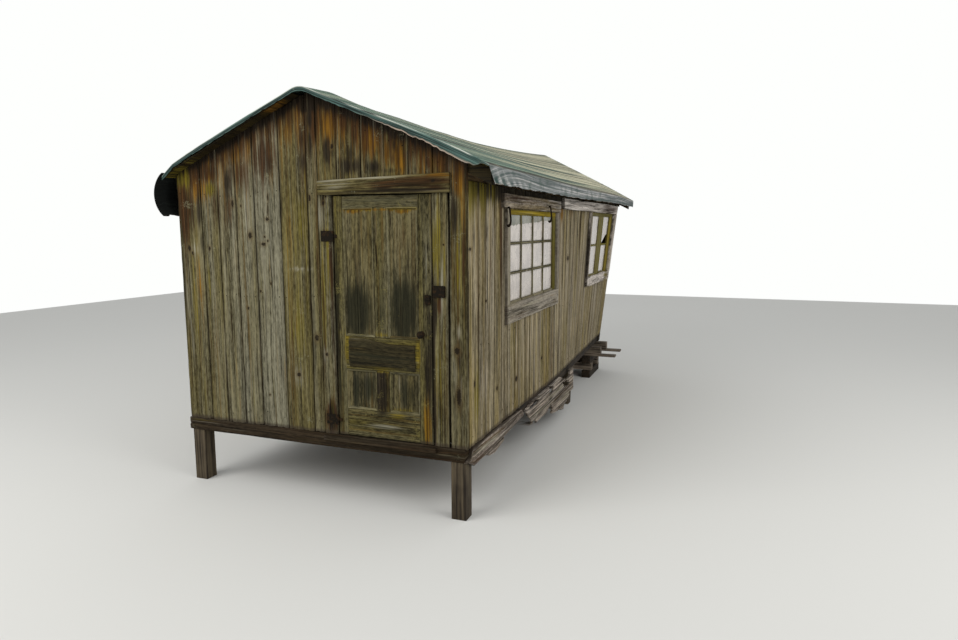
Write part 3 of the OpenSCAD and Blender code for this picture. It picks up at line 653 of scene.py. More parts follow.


# Stains of the door gable, with painted shade under the roof edge: middle across and height, half sizes and strength of
# each
frontStains = {
    "gold": [
        (-1.0, 1.84, 0.14, 0.13, 0.85), (0.17, 2.26, 0.07, 0.14, 1.15), (0.29, 2.24, 0.03, 0.12, 0.9),
        (0.5, 2.13, 0.07, 0.12, 1.2), (0.63, 2.03, 0.025, 0.1, 1.1), (0.74, 2.02, 0.04, 0.12, 1.1),
        (0.86, 2.04, 0.03, 0.05, 0.5), (1.03, 1.96, 0.04, 0.08, 0.85), (-0.166, 2.22, 0.05, 0.12, 0.8),
        (-0.35, 2.22, 0.07, 0.07, 0.7), (-0.585, 2.13, 0.012, 0.18, 0.9), (-0.67, 2.06, 0.03, 0.09, 0.9),
        (-0.888, 1.92, 0.05, 0.04, 1.1), (-1.11, 1.68, 0.012, 0.08, 0.9), (-1.05, 1.1, 0.03, 0.25, 0.5),
        (1.15, 1.83, 0.04, 0.1, 1.0), (1.2, 1.75, 0.01, 0.2, 0.7), (-0.2, 1.3, 0.02, 0.5, 0.45)],
    "brown": [
        (-1.15, 1.66, 0.07, 0.24, 1.2), (-0.95, 1.96, 0.14, 0.09, 1.2), (-0.38, 2.06, 0.13, 0.17, 0.85),
        (-0.62, 1.93, 0.12, 0.14, 0.75), (-0.02, 2.2, 0.05, 0.22, 0.8), (-0.82, 1.7, 0.08, 0.2, 0.55),
        (-0.5, 2.2, 0.2, 0.08, 0.8), (0.6, 2.1, 0.3, 0.12, 0.55), (-0.03, 1.95, 0.03, 0.25, 0.7),
        (0.15, 2.37, 0.12, 0.08, 0.9), (0.45, 2.27, 0.25, 0.05, 0.9), (0.38, 2.2, 0.035, 0.14, 1.0),
        (0.055, 2.28, 0.045, 0.14, 1.0), (-0.047, 2.17, 0.025, 0.14, 0.95), (-0.36, 2.27, 0.1, 0.04, 0.9),
        (-0.9, 2.04, 0.2, 0.05, 1.0), (0.864, 2.06, 0.05, 0.07, 0.9), (0.94, 1.96, 0.03, 0.06, 0.9),
        (0.68, 1.99, 0.014, 0.06, 0.9), (-0.38, 2.07, 0.09, 0.1, 0.6), (-0.725, 1.66, 0.04, 0.12, 0.55),
        (-1.06, 1.02, 0.015, 0.3, 0.6), (1.192, 1.3, 0.013, 0.3, 0.7), (1.14, 1.3, 0.02, 0.4, 0.5),
        (0.05, 1.1, 0.006, 0.6, 0.7), (-0.2, 0.9, 0.008, 0.5, 0.6)],
    "black": [
        (0.01, 2.38, 0.09, 0.05, 1.2), (0.02, 2.3, 0.03, 0.08, 0.9), (-0.33, 1.98, 0.03, 0.1, 0.7),
        (-1.08, 1.66, 0.035, 0.16, 0.8), (1.15, 0.66, 0.04, 0.14, 0.75), (1.15, 0.38, 0.035, 0.17, 0.75),
        (0.164, 2.06, 0.04, 0.09, 0.95), (0.35, 2.03, 0.035, 0.1, 0.85), (0.345, 1.95, 0.08, 0.06, 0.95),
        (0.528, 1.94, 0.06, 0.05, 0.85), (0.695, 2.15, 0.03, 0.05, 0.95), (0.69, 2.08, 0.015, 0.06, 0.8),
        (0.016, 2.12, 0.014, 0.08, 0.95), (-0.063, 1.99, 0.04, 0.07, 0.6), (-0.738, 1.87, 0.045, 0.11, 0.85),
        (-1.018, 1.66, 0.028, 0.13, 0.85), (-0.24, 1.7, 0.005, 0.12, 0.8), (0.62, 1.91, 0.3, 0.02, 0.55),
        (1.125, 1.62, 0.026, 0.17, 0.95), (-1.0, 1.42, 0.02, 0.1, 0.5), (0.11, 1.7, 0.02, 0.03, 0.6)],
    "yellow": [
        (-1.15, 1.9, 0.05, 0.06, 0.9), (-0.895, 1.82, 0.05, 0.05, 0.9), (1.146, 1.25, 0.03, 0.25, 0.55),
        (-0.1, 1.6, 0.07, 0.25, 0.5), (-0.13, 0.8, 0.09, 0.3, 0.45), (-1.1, 0.9, 0.04, 0.3, 0.45),
        (0.78, 2.06, 0.02, 0.05, 0.5), (-0.95, 1.1, 0.03, 0.2, 0.45)],
    "pale": [
        (-0.11, 1.225, 0.09, 0.014, 0.7), (-0.38, 1.2, 0.08, 0.3, 0.3), (-0.57, 1.6, 0.05, 0.3, 0.5),
        (-1.08, 1.36, 0.05, 0.05, 0.5), (-0.15, 0.42, 0.03, 0.08, 0.6), (-1.17, 0.8, 0.03, 0.4, 0.5),
        (1.13, 0.56, 0.012, 0.1, 0.7), (1.16, 0.82, 0.025, 0.05, 0.6), (1.17, 0.45, 0.01, 0.1, 0.6)],
    "mould": [
        (-1.2, 1.1, 0.012, 0.5, 0.7), (-0.96, 1.55, 0.012, 0.2, 0.6), (0.0, 0.9, 0.01, 0.8, 0.5),
        (1.12, 0.5, 0.02, 0.4, 0.5)],
    # under: bands below the roof edge; black and brown are painted shade of the roofing's overhang over real staining,
    # gold is stain
    "under": {"black": (frontTop, 0.065, 1.15), "brown": (frontTop, 0.2, 0.85), "gold": (frontTop, 0.34, 0.55)},
}
# The door gable's boards: joints from the centre line, with a tone and a warmth for each board
frontBoards = {
    "joints": [-1.22, -0.99, -0.827, -0.66, -0.489, -0.258, -0.02, 0.066],
    "tones": [0.46, 0.52, 0.52, 0.55, 0.6, 0.42, 0.47],
    "warmths": [0.55, 0.6, 0.3, 0.35, 0.0, 0.85, 0.5],
    "splits": {0: [(0.62, 1.1, False)], 1: [(0.8, 0.5, False)], 2: [(0.45, 0.9, False)],
               4: [(0.2, 0.8, False), (0.5, 0.4, False)], 5: [(0.3, 0.6, False), (0.7, 0.5, True)]},
}
gableBoards = {
    "joints": [0.066, 0.233, 0.428, 0.607, 0.79, 0.973, 1.102],
    "tones": [0.5, 0.4, 0.35, 0.5, 0.45, 0.4],
    "warmths": [0.8, 0.9, 0.8, 0.9, 0.7, 0.9],
    "splits": {},
}


def buildFrontBoards(name, node, slotName, spec, foot, riseFrom, seed, **changes):
    batch = newBatch(0, frontStains)
    for k, span in enumerate(pairs(spec["joints"])):
        addBoard(batch, onFront, span, (foot, frontTop), house["boardThickness"], seed + k, spec["tones"][k],
                 spec["warmths"][k], dropFrom=underRoof, riseFrom=riseFrom, splits=spec["splits"].get(k, ()),
                 column=0.008, **changes)
    finishBatch(batch, name, frontMaterial, slotName, "building", node)


frontTrim = {"cornerWider": 0.012, "doorGap": 0.006, "headerRise": 0.028, "headerThickness": 0.022}


def buildCorner():
    batch = newBatch(0, frontStains)
    low, high = nodeBox("corner_board")
    span = low[0] - frontTrim["cornerWider"], high[0]
    addBoard(batch, onFront, span, (0.0, frontTop), house["boardThickness"], 33.1, 0.27, 0.72, dropFrom=underRoof,
             column=0.006, ring=0.018, splits=[(0.25, 1.2, False), (0.6, 0.5, True)])
    finishBatch(batch, "cornerBoard", frontMaterial, "front_boards", "building", "corner_board")


trimStains = {
    "brown": [
        (1.02, 0.3, 0.06, 0.32, 0.5), (0.16, 1.25, 0.022, 0.25, 1.0), (0.162, 0.9, 0.016, 0.35, 0.8),
        (0.13, 0.12, 0.045, 0.12, 1.5), (0.15, 1.47, 0.05, 0.035, 1.2), (1.01, 1.0, 0.03, 0.05, 0.8),
        (0.09, 0.9, 0.012, 0.5, 0.6)],
    # black: the long thin lines at 0.966 and 0.976 are painted shadow in the gap beside the door; the others are stains
    "black": [
        (0.113, 1.71, 0.018, 0.03, 0.9), (0.976, 0.95, 0.016, 0.16, 1.3), (0.966, 0.5, 0.01, 0.7, 1.5),
        (0.18, 1.68, 0.012, 0.06, 0.6), (0.13, 0.13, 0.03, 0.1, 1.2), (0.14, 1.44, 0.04, 0.02, 1.0)],
    "yellow": [(1.01, 1.4, 0.04, 0.24, 0.75), (0.1, 1.1, 0.05, 0.5, 0.6), (1.02, 0.4, 0.04, 0.4, 0.4)],
    "pale": [(0.09, 1.62, 0.03, 0.1, 0.7), (0.1, 0.6, 0.03, 0.06, 0.6), (1.04, 1.1, 0.02, 0.3, 0.5)],
    "mould": [(0.2, 0.7, 0.008, 0.8, 0.8)],
}


def buildDoorTrims():
    batch = newBatch(0, trimStains)
    low, high = nodeBox("door_trims")
    doorLow, doorHigh = nodeBox("door_frame")
    inner = (doorLow[0] - frontTrim["doorGap"], doorHigh[0] + frontTrim["doorGap"])
    for k, span in enumerate(((low[0], inner[0]), (inner[1], high[0]))):
        addBoard(batch, onFront, span, (0.0, high[2]), house["boardThickness"], 41.7 + k, 0.37, 0.55,
                 column=0.006, ring=0.02, splits=[(0.4, 0.7, False)], gap=0.002)
    finishBatch(batch, "doorTrims", frontMaterial, "front_boards", "building", "door_trims")


headerStains = {
    "gold": [(1.02, 1.865, 0.09, 0.014, 1.0), (0.93, 1.85, 0.05, 0.01, 0.8)],
    "brown": [(0.85, 1.82, 0.28, 0.03, 1.1), (0.62, 1.8, 0.1, 0.016, 0.9), (1.0, 1.79, 0.08, 0.02, 1.0)],
    # black: the long thin line along the lower edge is painted shadow of the gap over the door; the small mark is a
    # stain
    "black": [(0.72, 1.775, 0.3, 0.01, 1.0), (0.985, 1.83, 0.012, 0.01, 1.1)],
    "pale": [(0.2, 1.83, 0.16, 0.04, 0.75), (0.5, 1.865, 0.2, 0.008, 0.9)],
}


taperSpan = 0.1   # across a board whose edges aren't parallel, the values run from 0 to this


def buildHeader():
    batch = newBatch(0, headerStains)
    low, high = nodeBox("door_header")
    thickness = frontTrim["headerThickness"]

    def tapered(a, b, out):
        top = high[2] - frontTrim["headerRise"] * (high[0] - b) / (high[0] - low[0])
        return b, -out, low[2] + a / taperSpan * (top - low[2])
    addBoard(batch, tapered, (0.0, taperSpan), (low[0], high[0]), thickness, 51.3, 0.55, 0.6, offset=thickness,
             dropFrom=high[0], riseFrom=low[0] - 0.2, gap=0.0, column=0.006, ring=0.015, splits=[(0.35, 0.4, False)])
    finishBatch(batch, "doorHeader", headerMaterial, "gable_boards", "building", "door_header")


boardWidth = 0.155   # usual width of a board of the side and back walls


def wallJoints(start, end, seed, fixed=()):
    # joints of boards of mixed widths, with joints kept where a window begins and ends
    stops = [start] + [f for f in fixed if start < f < end] + [end]
    joints = [start]
    for first, last in pairs(stops):
        count = max(1, round((last - first) / boardWidth))
        for k in range(1, count):
            stray = float(softNoise(seed * 3.1 + k * 7.7, seed, 0.5))
            joints.append(first + (last - first) * (k + 0.2 * stray) / count)
        joints.append(last)
    return joints


# Stains of the window side, with painted shade under the eave and painted shadow beside the window casings: middle
# along the wall and height, half sizes and strength of each
sideStains = {
    "gold": [
        (2.62, 1.68, 0.05, 0.08, 0.9), (3.0, 1.7, 0.08, 0.08, 0.7), (0.1, 1.85, 0.12, 0.06, 0.6),
        (2.3, 0.5, 0.02, 0.5, 0.55)],
    "brown": [
        (0.69, 1.5, 0.03, 0.6, 0.95), (3.4, 1.5, 0.05, 0.25, 0.7), (2.25, 0.3, 0.03, 0.35, 0.8),
        (2.55, 0.35, 0.03, 0.3, 0.6), (1.35, 0.3, 0.02, 0.3, 0.6), (0.2, 0.9, 0.02, 0.6, 0.6),
        (3.8, 0.8, 0.03, 0.5, 0.6), (4.3, 0.3, 0.05, 0.3, 0.6), (0.45, 1.2, 0.02, 0.4, 0.55)],
    # black: the lines at 0.762 and 3.8 are painted shadow beside the window casings' left edges
    "black": [(0.762, 1.3, 0.01, 0.55, 1.2), (2.455, 1.25, 0.014, 0.45, 1.1), (3.8, 1.2, 0.025, 0.5, 1.0)],
    "yellow": [
        (0.09, 1.8, 0.1, 0.2, 0.9), (0.3, 1.78, 0.1, 0.2, 0.7), (0.5, 1.8, 0.08, 0.16, 0.6),
        (3.3, 1.0, 0.04, 0.5, 0.7), (1.0, 0.6, 0.06, 0.3, 0.55), (1.9, 0.5, 0.05, 0.4, 0.6),
        (0.15, 0.35, 0.06, 0.25, 0.6), (2.9, 0.4, 0.05, 0.3, 0.55)],
    "pale": [
        (1.5, 0.5, 0.6, 0.4, 0.45), (3.2, 0.9, 0.8, 0.9, 0.5), (0.33, 0.4, 0.05, 0.16, 0.7),
        (1.65, 0.25, 0.05, 0.2, 0.7), (0.05, 1.35, 0.03, 0.2, 0.6), (1.1, 0.26, 0.06, 0.1, 0.6),
        (2.9, 1.1, 0.08, 0.4, 0.6), (4.6, 0.7, 0.2, 0.5, 0.6)],
    "mould": [(0.6, 0.8, 0.02, 0.5, 0.6), (0.42, 0.9, 0.12, 0.6, 0.4)],
    # under: the black band below the wall top is painted shade under the eave flap, on both side walls
    "under": {"black": (lambda y: house["wallTop"] + 0 * y, 0.1, 1.3)},
}


def buildSideWall(name, node, side, run, hole, seed):
    # the left wall takes only the painted shade under its eave
    batch = newBatch(1, sideStains if side > 0 else {"under": sideStains["under"]})
    wallTop = house["wallTop"]
    for k, (first, last) in enumerate(pairs(wallJoints(*run, seed, hole[:2] if hole else ()))):
        middle = (first + last) / 2
        number = seed + k * 1.13
        chance = roll(number, 4)
        tone, warm = 0.32 + 0.3 * chance[0] + 0.03 * (middle > 3.0), 0.2 + 0.65 * chance[1]
        spans = [(0.0, wallTop)]
        if hole and hole[0] - 0.001 <= first and last <= hole[1] + 0.001:
            spans = [(0.0, hole[2]), (hole[3], wallTop)]
        for n, span in enumerate(spans):
            tall = span[1] - span[0] > 0.5
            splits = [(0.2 + 0.6 * chance[2], 0.3 + 0.9 * chance[3], chance[2] > 0.5)] if tall else ()
            addBoard(batch, onSide(side, middle if middle > house["leanStart"] else None), (first, last), span,
                     house["boardThickness"], number + 0.31 * n, tone, warm, dropFrom=wallTop,
                     splits=splits, ragged=0.01, cup=0.0012, edgeReach=0.01)
    finishBatch(batch, name, sideMaterial, "side_boards", "building", node)


windowRise = {"window1": 0.0, "window2": 0.065}   # the far window stands higher than in the model


def windowHole(name):
    low, high = nodeBox(name + "_sash")
    return low[1], high[1], low[2] + windowRise[name], high[2] + windowRise[name]


def buildWalls():
    foot = nodeBox("front_gable")[0][2]
    buildFrontBoards("frontWallBoards", "front_wall_left", "front_boards", frontBoards, 0.0, 0.0, 1.37, ring=0.02,
                     ragged=0.014)
    buildFrontBoards("gableBoards", "front_gable", "gable_boards", gableBoards, foot, foot - 0.2, 21.3, ring=0.012)
    buildCorner()
    buildDoorTrims()
    buildHeader()
    thickness, leanStart = house["boardThickness"], house["leanStart"]
    front, rear = (thickness, leanStart), (leanStart, house["length"] - thickness)
    for name, node, side, span, hole, seed in (
            ("rightWallFront", "right_wall_front", 1, front, windowHole("window1"), 61.9),
            ("rightWallRear", "right_wall_rear", 1, rear, windowHole("window2"), 83.3),
            ("leftWallFront", "left_wall_front", -1, front, None, 107.7),
            ("leftWallRear", "left_wall_rear", -1, rear, None, 131.3)):
        buildSideWall(name, node, side, span, hole, seed)
    batch = newBatch()
    for k, span in enumerate(pairs(wallJoints(-house["halfWidth"], house["halfWidth"], 151.1))):
        chance = roll(k + 5.3, 3)
        addBoard(batch, onBack, span, (0.0, underRoof), thickness, 151.1 + k, 0.3 + 0.5 * chance[0],
                 0.2 + 0.7 * chance[1], dropFrom=underRoof, ragged=0.01,
                 splits=[(0.2 + 0.6 * chance[2], 0.6, chance[2] > 0.5)])
    finishBatch(batch, "backWallBoards", sideMaterial, "front_boards", "building", "back_wall")


buildWalls()
print("walls built")


def gridNormals(points):
    # unit normals of a grid of points
    normal = np.cross(np.gradient(points, axis=1), np.gradient(points, axis=0))
    return normal / (np.linalg.norm(normal, axis=-1, keepdims=True) + 1e-12)


# Roofing: one sheet over both slopes, turned down over the rakes and the eaves
def roofingMaterial(name, look):
    # felt worn to long stripes, with dark lines at the laps that are painted shadow of the lap edges; pale where it
    # folds or tears, the fold lines partly painted highlight, and painted highlight and shade on the eave flap's flutes
    material, shader = newMaterial(name, 0.8, 0.2)
    place = vectorInput("boardPlace", False)
    across, face, wear = (vectorInput(key) for key in ("boardPlace", "boardFace", "boardWear"))
    bent = pushed(place, times(streaks(place, (2.5, 0.8, 1), detail=3), look["bend"]))
    scale, along = look["scale"], look["along"]
    wide = streaks(bent, (7 * scale, 0.08 * along, 1), detail=3, rough=0.6)
    narrow = streaks(bent, (21 * scale, 0.11 * along, 1), (3, 1, 2), detail=4, rough=0.65)
    fine = streaks(bent, (56 * scale, 0.3 * along, 1), (1, 4, 2), detail=3, rough=0.65)
    level = 0.5
    for part, weight in ((wide, 2.6), (narrow, 4.6), (fine, 3.4)):
        level = timesPlus(minus(part, 0.5), weight, level)
    base = blendColour(calc("MAXIMUM", calc("MINIMUM", level, 1.1), -0.1), look["dark"], look["light"])
    # cream where the face has worn through, more of it towards the lake end
    far = remap(face[0], 0.0, 5.5, 0.0, look["creamFar"])
    cream = remap(plus(timesPlus(wide, 0.4, times(narrow, 0.6)), far), 0.535, 0.6)
    base = cover(base, look["cream"], cream, look["creamAmount"])
    deep = remap(streaks(bent, (34 * scale, 0.09 * along, 1), (8, 3, 5), detail=3), 0.53, 0.58)
    # the deep colour is also laid on the painted shade of the eave flap's flute hollows and fold line, from the wear's
    # third value
    base = blendColour(calc("MAXIMUM", times(deep, 0.65), wear[2]), base, look["deep"])
    wander = times(minus(streaks(place, (1, 2.2, 1), detail=3), 0.5), 0.03)
    # dark lines at the lap edges and the eave edge: painted shadow under the upper strips
    for lap, width in look["laps"]:
        away = calc("ABSOLUTE", minus(plus(calc("ABSOLUTE", across[0]), wander), lap))
        line = fall(away, 0.3 * width, width)
        base = cover(base, look["line"], line, 0.85)
    fleck = useGroup(speckleGroup, {"Place": place, "Scale": 80.0, "Amount": look["flecks"]})["Mask"]
    base = cover(base, look["fleck"], fleck, 0.6)
    # pale crests: worn felt at the folds, with a painted highlight along them and on the flap's flute tops
    base = cover(base, look["crest"], remap(wear[1], 0.0, 1.0), 0.9)
    base = cover(base, look["torn"], remap(wear[0], 0.15, 0.8), 0.85)
    grit = noise(place, 170.0, detail=3, rough=0.7)
    base = blendColour(1.0, base, grey(remap(grit, 0.3, 0.7, 0.84, 1.14)), "MULTIPLY")
    plug(base, shader.inputs["Base Color"])
    bump(shader, timesPlus(narrow, 0.8, times(grit, 0.5)), 0.5, 0.003)
    return material


# line and laps: colour and places of the painted shadow lines at the laps
roofingLook = newLook(
    {}, dark=(38, 60, 52), light=(116, 140, 124), cream=(218, 212, 182), creamAmount=0.8, creamFar=0.12,
    deep=(52, 54, 42), line=(46, 38, 28), laps=[(0.035, 0.013), (0.52, 0.022), (1.05, 0.032), (1.5, 0.045)],
    fleck=(160, 158, 132), flecks=0.3, crest=(200, 205, 195), torn=(176, 156, 140), bend=0.02, scale=1.0,
    along=1.0)
lipLook = newLook(
    roofingLook, dark=(26, 42, 40), light=(84, 112, 106), cream=(178, 180, 164), creamAmount=0.7, creamFar=0.0,
    deep=(22, 28, 26), laps=[], flecks=0.2, bend=0.004, scale=3.2, along=9.0)
flapLook = newLook(
    roofingLook, dark=(92, 98, 98), light=(158, 159, 160), cream=(196, 191, 188), creamAmount=0.6, creamFar=0.04,
    deep=(32, 58, 53), laps=[], fleck=(60, 76, 70), flecks=0.45, crest=(176, 178, 172), torn=(150, 140, 128),
    bend=0.01, scale=2.2, along=4.0)
# the left flap near-black: painted shade over dark felt, the same felt being lighter elsewhere
darkFlapLook = newLook(
    lipLook, dark=(8, 10, 9), light=(22, 26, 24), cream=(40, 46, 42), creamAmount=0.3, deep=(6, 7, 6),
    fleck=(18, 24, 20), crest=(96, 110, 104), torn=(36, 30, 20), scale=6.0)
roofSheet = {
    "thickness": 0.003, "wrinkle": 0.0016, "sag": 0.0012, "laps": [0.475, 0.96], "lapStep": 0.0015,
    "acrossStep": 0.02, "alongStep": 0.04,
}


def ridgeOffset(y):
    # how far the ridge strays from a straight line
    return np.interp(y, [-0.1, 0.05, 0.25, 0.6, 0.9, 1.3, 2.0, 2.4, 3.05, 3.75, 4.8, 5.6],
                     [0.0, 0.012, 0.026, 0.004, -0.002, 0.002, -0.006, 0.0, -0.012, -0.01, -0.006, -0.003])


def roofSurface(x, y):
    # outer surface of the straight building, with the bend over the ridge and the lifted left rake
    radius, turn = house["ridgeRadius"], math.radians(house["pitch"])
    limit = radius * math.sin(turn)
    centre = roofHeight(limit) - radius * math.cos(turn)
    bend = centre + np.sqrt(np.maximum(radius ** 2 - np.minimum(np.abs(x), limit) ** 2, 0))
    z = np.where(np.abs(x) < limit, bend, roofHeight(x))
    return z + ridgeOffset(y) * np.clip(1 - np.abs(x) / 0.4, 0, 1) ** 0.7 + roofLift(x, y)


def buildRoofing():
    spec = roofSheet
    (left, right), (near, far) = roofEdges, roofEnds
    x = np.unique(np.concatenate([np.linspace(left, right, int((right - left) / spec["acrossStep"])),
                                  np.linspace(-0.07, 0.07, 9)]))
    y = np.linspace(near, far, int((far - near) / spec["alongStep"]))
    gridX, gridY = np.meshgrid(x, y)
    z = roofSurface(gridX, gridY)
    for lap in spec["laps"]:
        # the upper strip lies over the lower one
        edge = np.abs(gridX) - lap - 0.01 * softNoise(gridY * 1.3, lap)
        z = z - spec["lapStep"] * (1 / (1 + np.exp(-np.clip(edge / 0.003, -30, 30))))
    calm = np.clip((np.abs(gridX) - 0.1) / 0.15, 0, 1)
    z = z + calm * (spec["wrinkle"] * softNoise(gridX * 16, 7.7, gridY * 0.7)
                    + spec["wrinkle"] * 0.6 * softNoise(gridX * 37, 9.1, gridY * 1.9)
                    - spec["sag"] * (1 + softNoise(gridX * 2.2, 2.2, gridY * 1.7)))
    outer = grid(gridX, gridY, z)
    normals = gridNormals(outer)
    inner = outer - spec["thickness"] * normals * np.sign(normals[3, 3, 2])
    outer, inner = (grid(*racked(*np.moveaxis(points, -1, 0))) for points in (outer, inner))
    place = grid(gridX / math.cos(math.radians(house["pitch"])), gridY, 0)
    batch = newBatch(1)
    addShell(batch, outer, inner, place, 0 * outer)
    finishBatch(batch, "roofingSheet", roofingMaterial("roofing", roofingLook), "roofing", "building", "roofing")


# The sheet's ends turned down over both gables; steps below 0 lie on the roof, 1 is the lower edge
roofLip = {
    "steps": [-0.02, -0.008, -0.001, 0.004, 0.009, 0.4, 0.7, 0.9, 1.0], "columns": 420, "thickness": 0.003,
    "farthest": 0.0048,   # how far a lip may stand out past the rake
    "tornFrom": 0.3,      # the lower edge is torn from here to the right
}


def buildLips():
    spec = roofLip
    (left, right), (near, far) = roofEdges, roofEnds
    batch = newBatch(0)
    gridX, step = np.meshgrid(np.linspace(left, right, spec["columns"]), spec["steps"])
    hang = np.interp(gridX, [left, 0.0, 0.4, 0.6, 0.8, 0.95, 1.05, 1.13, 1.2, 1.3, 1.35, right],
                     [0.03, 0.03, 0.034, 0.042, 0.042, 0.046, 0.056, 0.062, 0.07, 0.056, 0.026, 0.014])
    torn = np.clip((gridX - spec["tornFrom"]) / 0.3, 0, 1)
    hang = hang + (0.002 + 0.003 * torn) * softNoise(gridX * 40, 3.3)
    hang = hang + (0.001 + 0.004 * torn) * softNoise(gridX * 13, 5.1)
    drop = np.where(step > 0.01, step * hang, np.maximum(step, 0))
    outward = np.interp(step, [-0.02, -0.008, -0.001, 0.004, 0.009, 1.0], [0, 0.0, 0.0015, 0.0025, 0.003, 0.003])
    outward = outward + np.where(step > 0.01, 0.0012 * softNoise(gridX * 22, 6.6, step * 2), 0)
    back = np.where(step < 0, -step, 0)
    for end, sign in ((near, -1), (far, 1)):
        y = np.clip(end + sign * (outward - back), near - spec["farthest"], far + spec["farthest"])
        z = roofSurface(gridX, y) + 0.0004 - drop
        outer = grid(*racked(gridX, y, z))
        under = np.minimum(z, roofSurface(gridX, y) - spec["thickness"])
        inner = grid(*racked(gridX, y - sign * spec["thickness"], under))
        place = grid(drop + back, gridX, 3 * sign)
        # a pale line along the fold: worn felt with a painted highlight
        crest = np.where(step < 0.005, 0.85, 0.0) * np.clip(0.6 + 0.9 * softNoise(gridX * 9, 2.4), 0, 1)
        frayed = np.clip((step - 0.72) * 4, 0, 1) * torn * (0.75 + 0.5 * softNoise(gridX * 9, 8.8))
        addShell(batch, outer, inner, place, grid(frayed, crest, 0))
    finishBatch(batch, "roofLips", roofingMaterial("roofLips", lipLook), "roofing", "building")


rightFlap = {
    "drops": [0.118, 0.112, 0.088],   # how far it hangs at the near end, 0.4 of the way along and at the far end
    "hem": 0.006,                     # kept free for the wavy lower edge
    "flare": 0.0055, "farthest": 0.0118, "thickness": 0.0028, "cut": 0.1,
    "flutes": 0.15, "fluteDepth": 0.0045, "fluteFade": 0.75,
}


def buildFlapRight():
    # crinkled where it was cut at the near end, calmer along the eave
    spec = rightFlap
    reach, (near, far) = roofEdges[1], roofEnds
    along = np.concatenate([np.linspace(0, 0.18, 130)[:-1], np.linspace(0.18, 1, 190)])
    t, u = np.meshgrid(np.linspace(0, 1, 14), along)
    y = near + spec["cut"] * t * (1 - u) + (far - near) * u
    fade = np.exp(-((y - near) / spec["fluteFade"]) ** 2)
    edge = 0.004 * softNoise(y * 34, 5.1) + (0.004 + 0.005 * fade) * softNoise(y * 11, 7.1)
    depth = (np.interp(u, [0, 0.4, 1], spec["drops"]) - spec["hem"] + np.minimum(edge, 0.005)) * t
    flute = np.cos(2 * math.pi * (y - 1.1 * depth) / spec["flutes"] + 1.5 * softNoise(y * 3, 3.1, depth * 9))
    fold = softNoise(y * 9 + t, 6.5, t * 1.2)
    x = reach + 0.0015 + spec["flare"] * t + (spec["fluteDepth"] * flute * fade + 0.003 * fold) * np.sqrt(t)
    x = np.minimum(x, reach + spec["farthest"])
    z = roofSurface(reach + 0 * t, y) - 0.0005 - depth
    outer = grid(*racked(x, y, z))
    outer[..., 0] = np.minimum(outer[..., 0], nodeBox("eave_flap_right")[1][0] - 0.0005)
    inner = outer - np.array([spec["thickness"], 0.0, 0.0])
    # streaks run along the eave, slanting down the flutes near the gable
    place = grid(depth * (1 - 0.5 * fade) + 0.12 * fade * (y - near), y, 0)
    # crest: painted highlight on the flutes' tops and along the fold; shade: painted shade in the flutes' hollows and a
    # painted shadow line just under the roofing's edge
    crest = np.clip(flute - 0.3, 0, 1) * fade * 0.9 * t ** 0.5 + np.where(t < 0.05, 0.5, 0.0)
    gloom = np.clip(1.2 * (0.35 - flute), 0, 1) * fade * np.clip((t - 0.35) / 0.4, 0, 1) + np.where(t < 0.02, 0.6, 0.0)
    frayed = np.clip((t - 0.9) * 9, 0, 1) * (0.3 + 0.5 * softNoise(y * 8, 2.7))
    batch = newBatch(1)
    addShell(batch, outer, inner, place, grid(frayed, crest, gloom))
    finishBatch(batch, "eaveFlapRight", roofingMaterial("eaveFlapRight", flapLook), "roofing", "building",
                "eave_flap_right")


leftFlap = {"radius": 0.19625, "turn": 57.2, "middle": 0.165, "thickness": 0.003, "tatter": 0.03, "fineTatter": 0.016}


def buildFlapLeft():
    # wrapped round the eave in a bow, its lower edge in tatters
    spec = leftFlap
    reach, (near, far) = -roofEdges[0], roofEnds
    radius, turn = spec["radius"], math.radians(spec["turn"])
    t, u = np.meshgrid(np.linspace(0, 1, 22), np.linspace(0, 1, 300))
    y = near + (far - near) * u
    tatter = (spec["tatter"] * np.abs(softNoise(y * 12, 4.4))
              + spec["fineTatter"] * np.abs(softNoise(y * 41, 6.4)))
    angle = turn - (2 * turn - tatter / radius) * t
    out = radius + 0.0034 + 0.0014 * softNoise(y * 7, 2.9, t * 3)
    x = radius * math.cos(turn) - reach - 0.0003 - out * np.cos(angle)
    z = roofHeight(reach) - spec["middle"] + out * np.sin(angle)
    outer = grid(*racked(x, y, z))
    inner = grid(*racked(x + spec["thickness"] * np.cos(angle), y, z - spec["thickness"] * np.sin(angle)))
    place = grid(t * 0.39, y, 7)
    frayed = np.clip((t - 0.93) * 12, 0, 1) * 0.8
    batch = newBatch(1)
    # a pale line along the top fold: worn felt with a painted highlight
    addShell(batch, outer, inner, place, grid(frayed, np.where(t < 0.03, 0.6, 0.0), 0))
    finishBatch(batch, "eaveFlapLeft", roofingMaterial("eaveFlapLeft", darkFlapLook), "roofing", "building",
                "eave_flap_left")


def onRoof(side):
    tilt = math.radians(house["pitch"])

    def mapping(a, b, out):
        x = a * math.cos(tilt) + out * math.sin(tilt)
        sag = np.minimum(ridgeOffset(b), 0) * np.clip(1 - x / 0.4, 0, 1) ** 0.7
        lift = roofLift(x, b) if side > 0 else np.minimum(roofLift(-x, b), 0)
        z = roofHeight(x) + sag + lift - 0.0095 + (out - out * math.sin(tilt) ** 2) / math.cos(tilt)
        return racked(side * x, b, z)
    return mapping


# the roof boards' underside near-black: painted shade under the overhang, over dark aged wood
soffitLook = newLook(
    plainLook, greyDark=(20, 17, 11), greyLight=(50, 43, 24), warmDark=(24, 19, 10), warmLight=(54, 44, 20),
    lichenAmount=0.05, edge=(48, 42, 26), foot=(24, 20, 14), ochre=(44, 32, 14), footReach=0.02)


roofBoard = {"inset": 0.01, "top": 0.07, "width": 0.19, "thickness": 0.018}


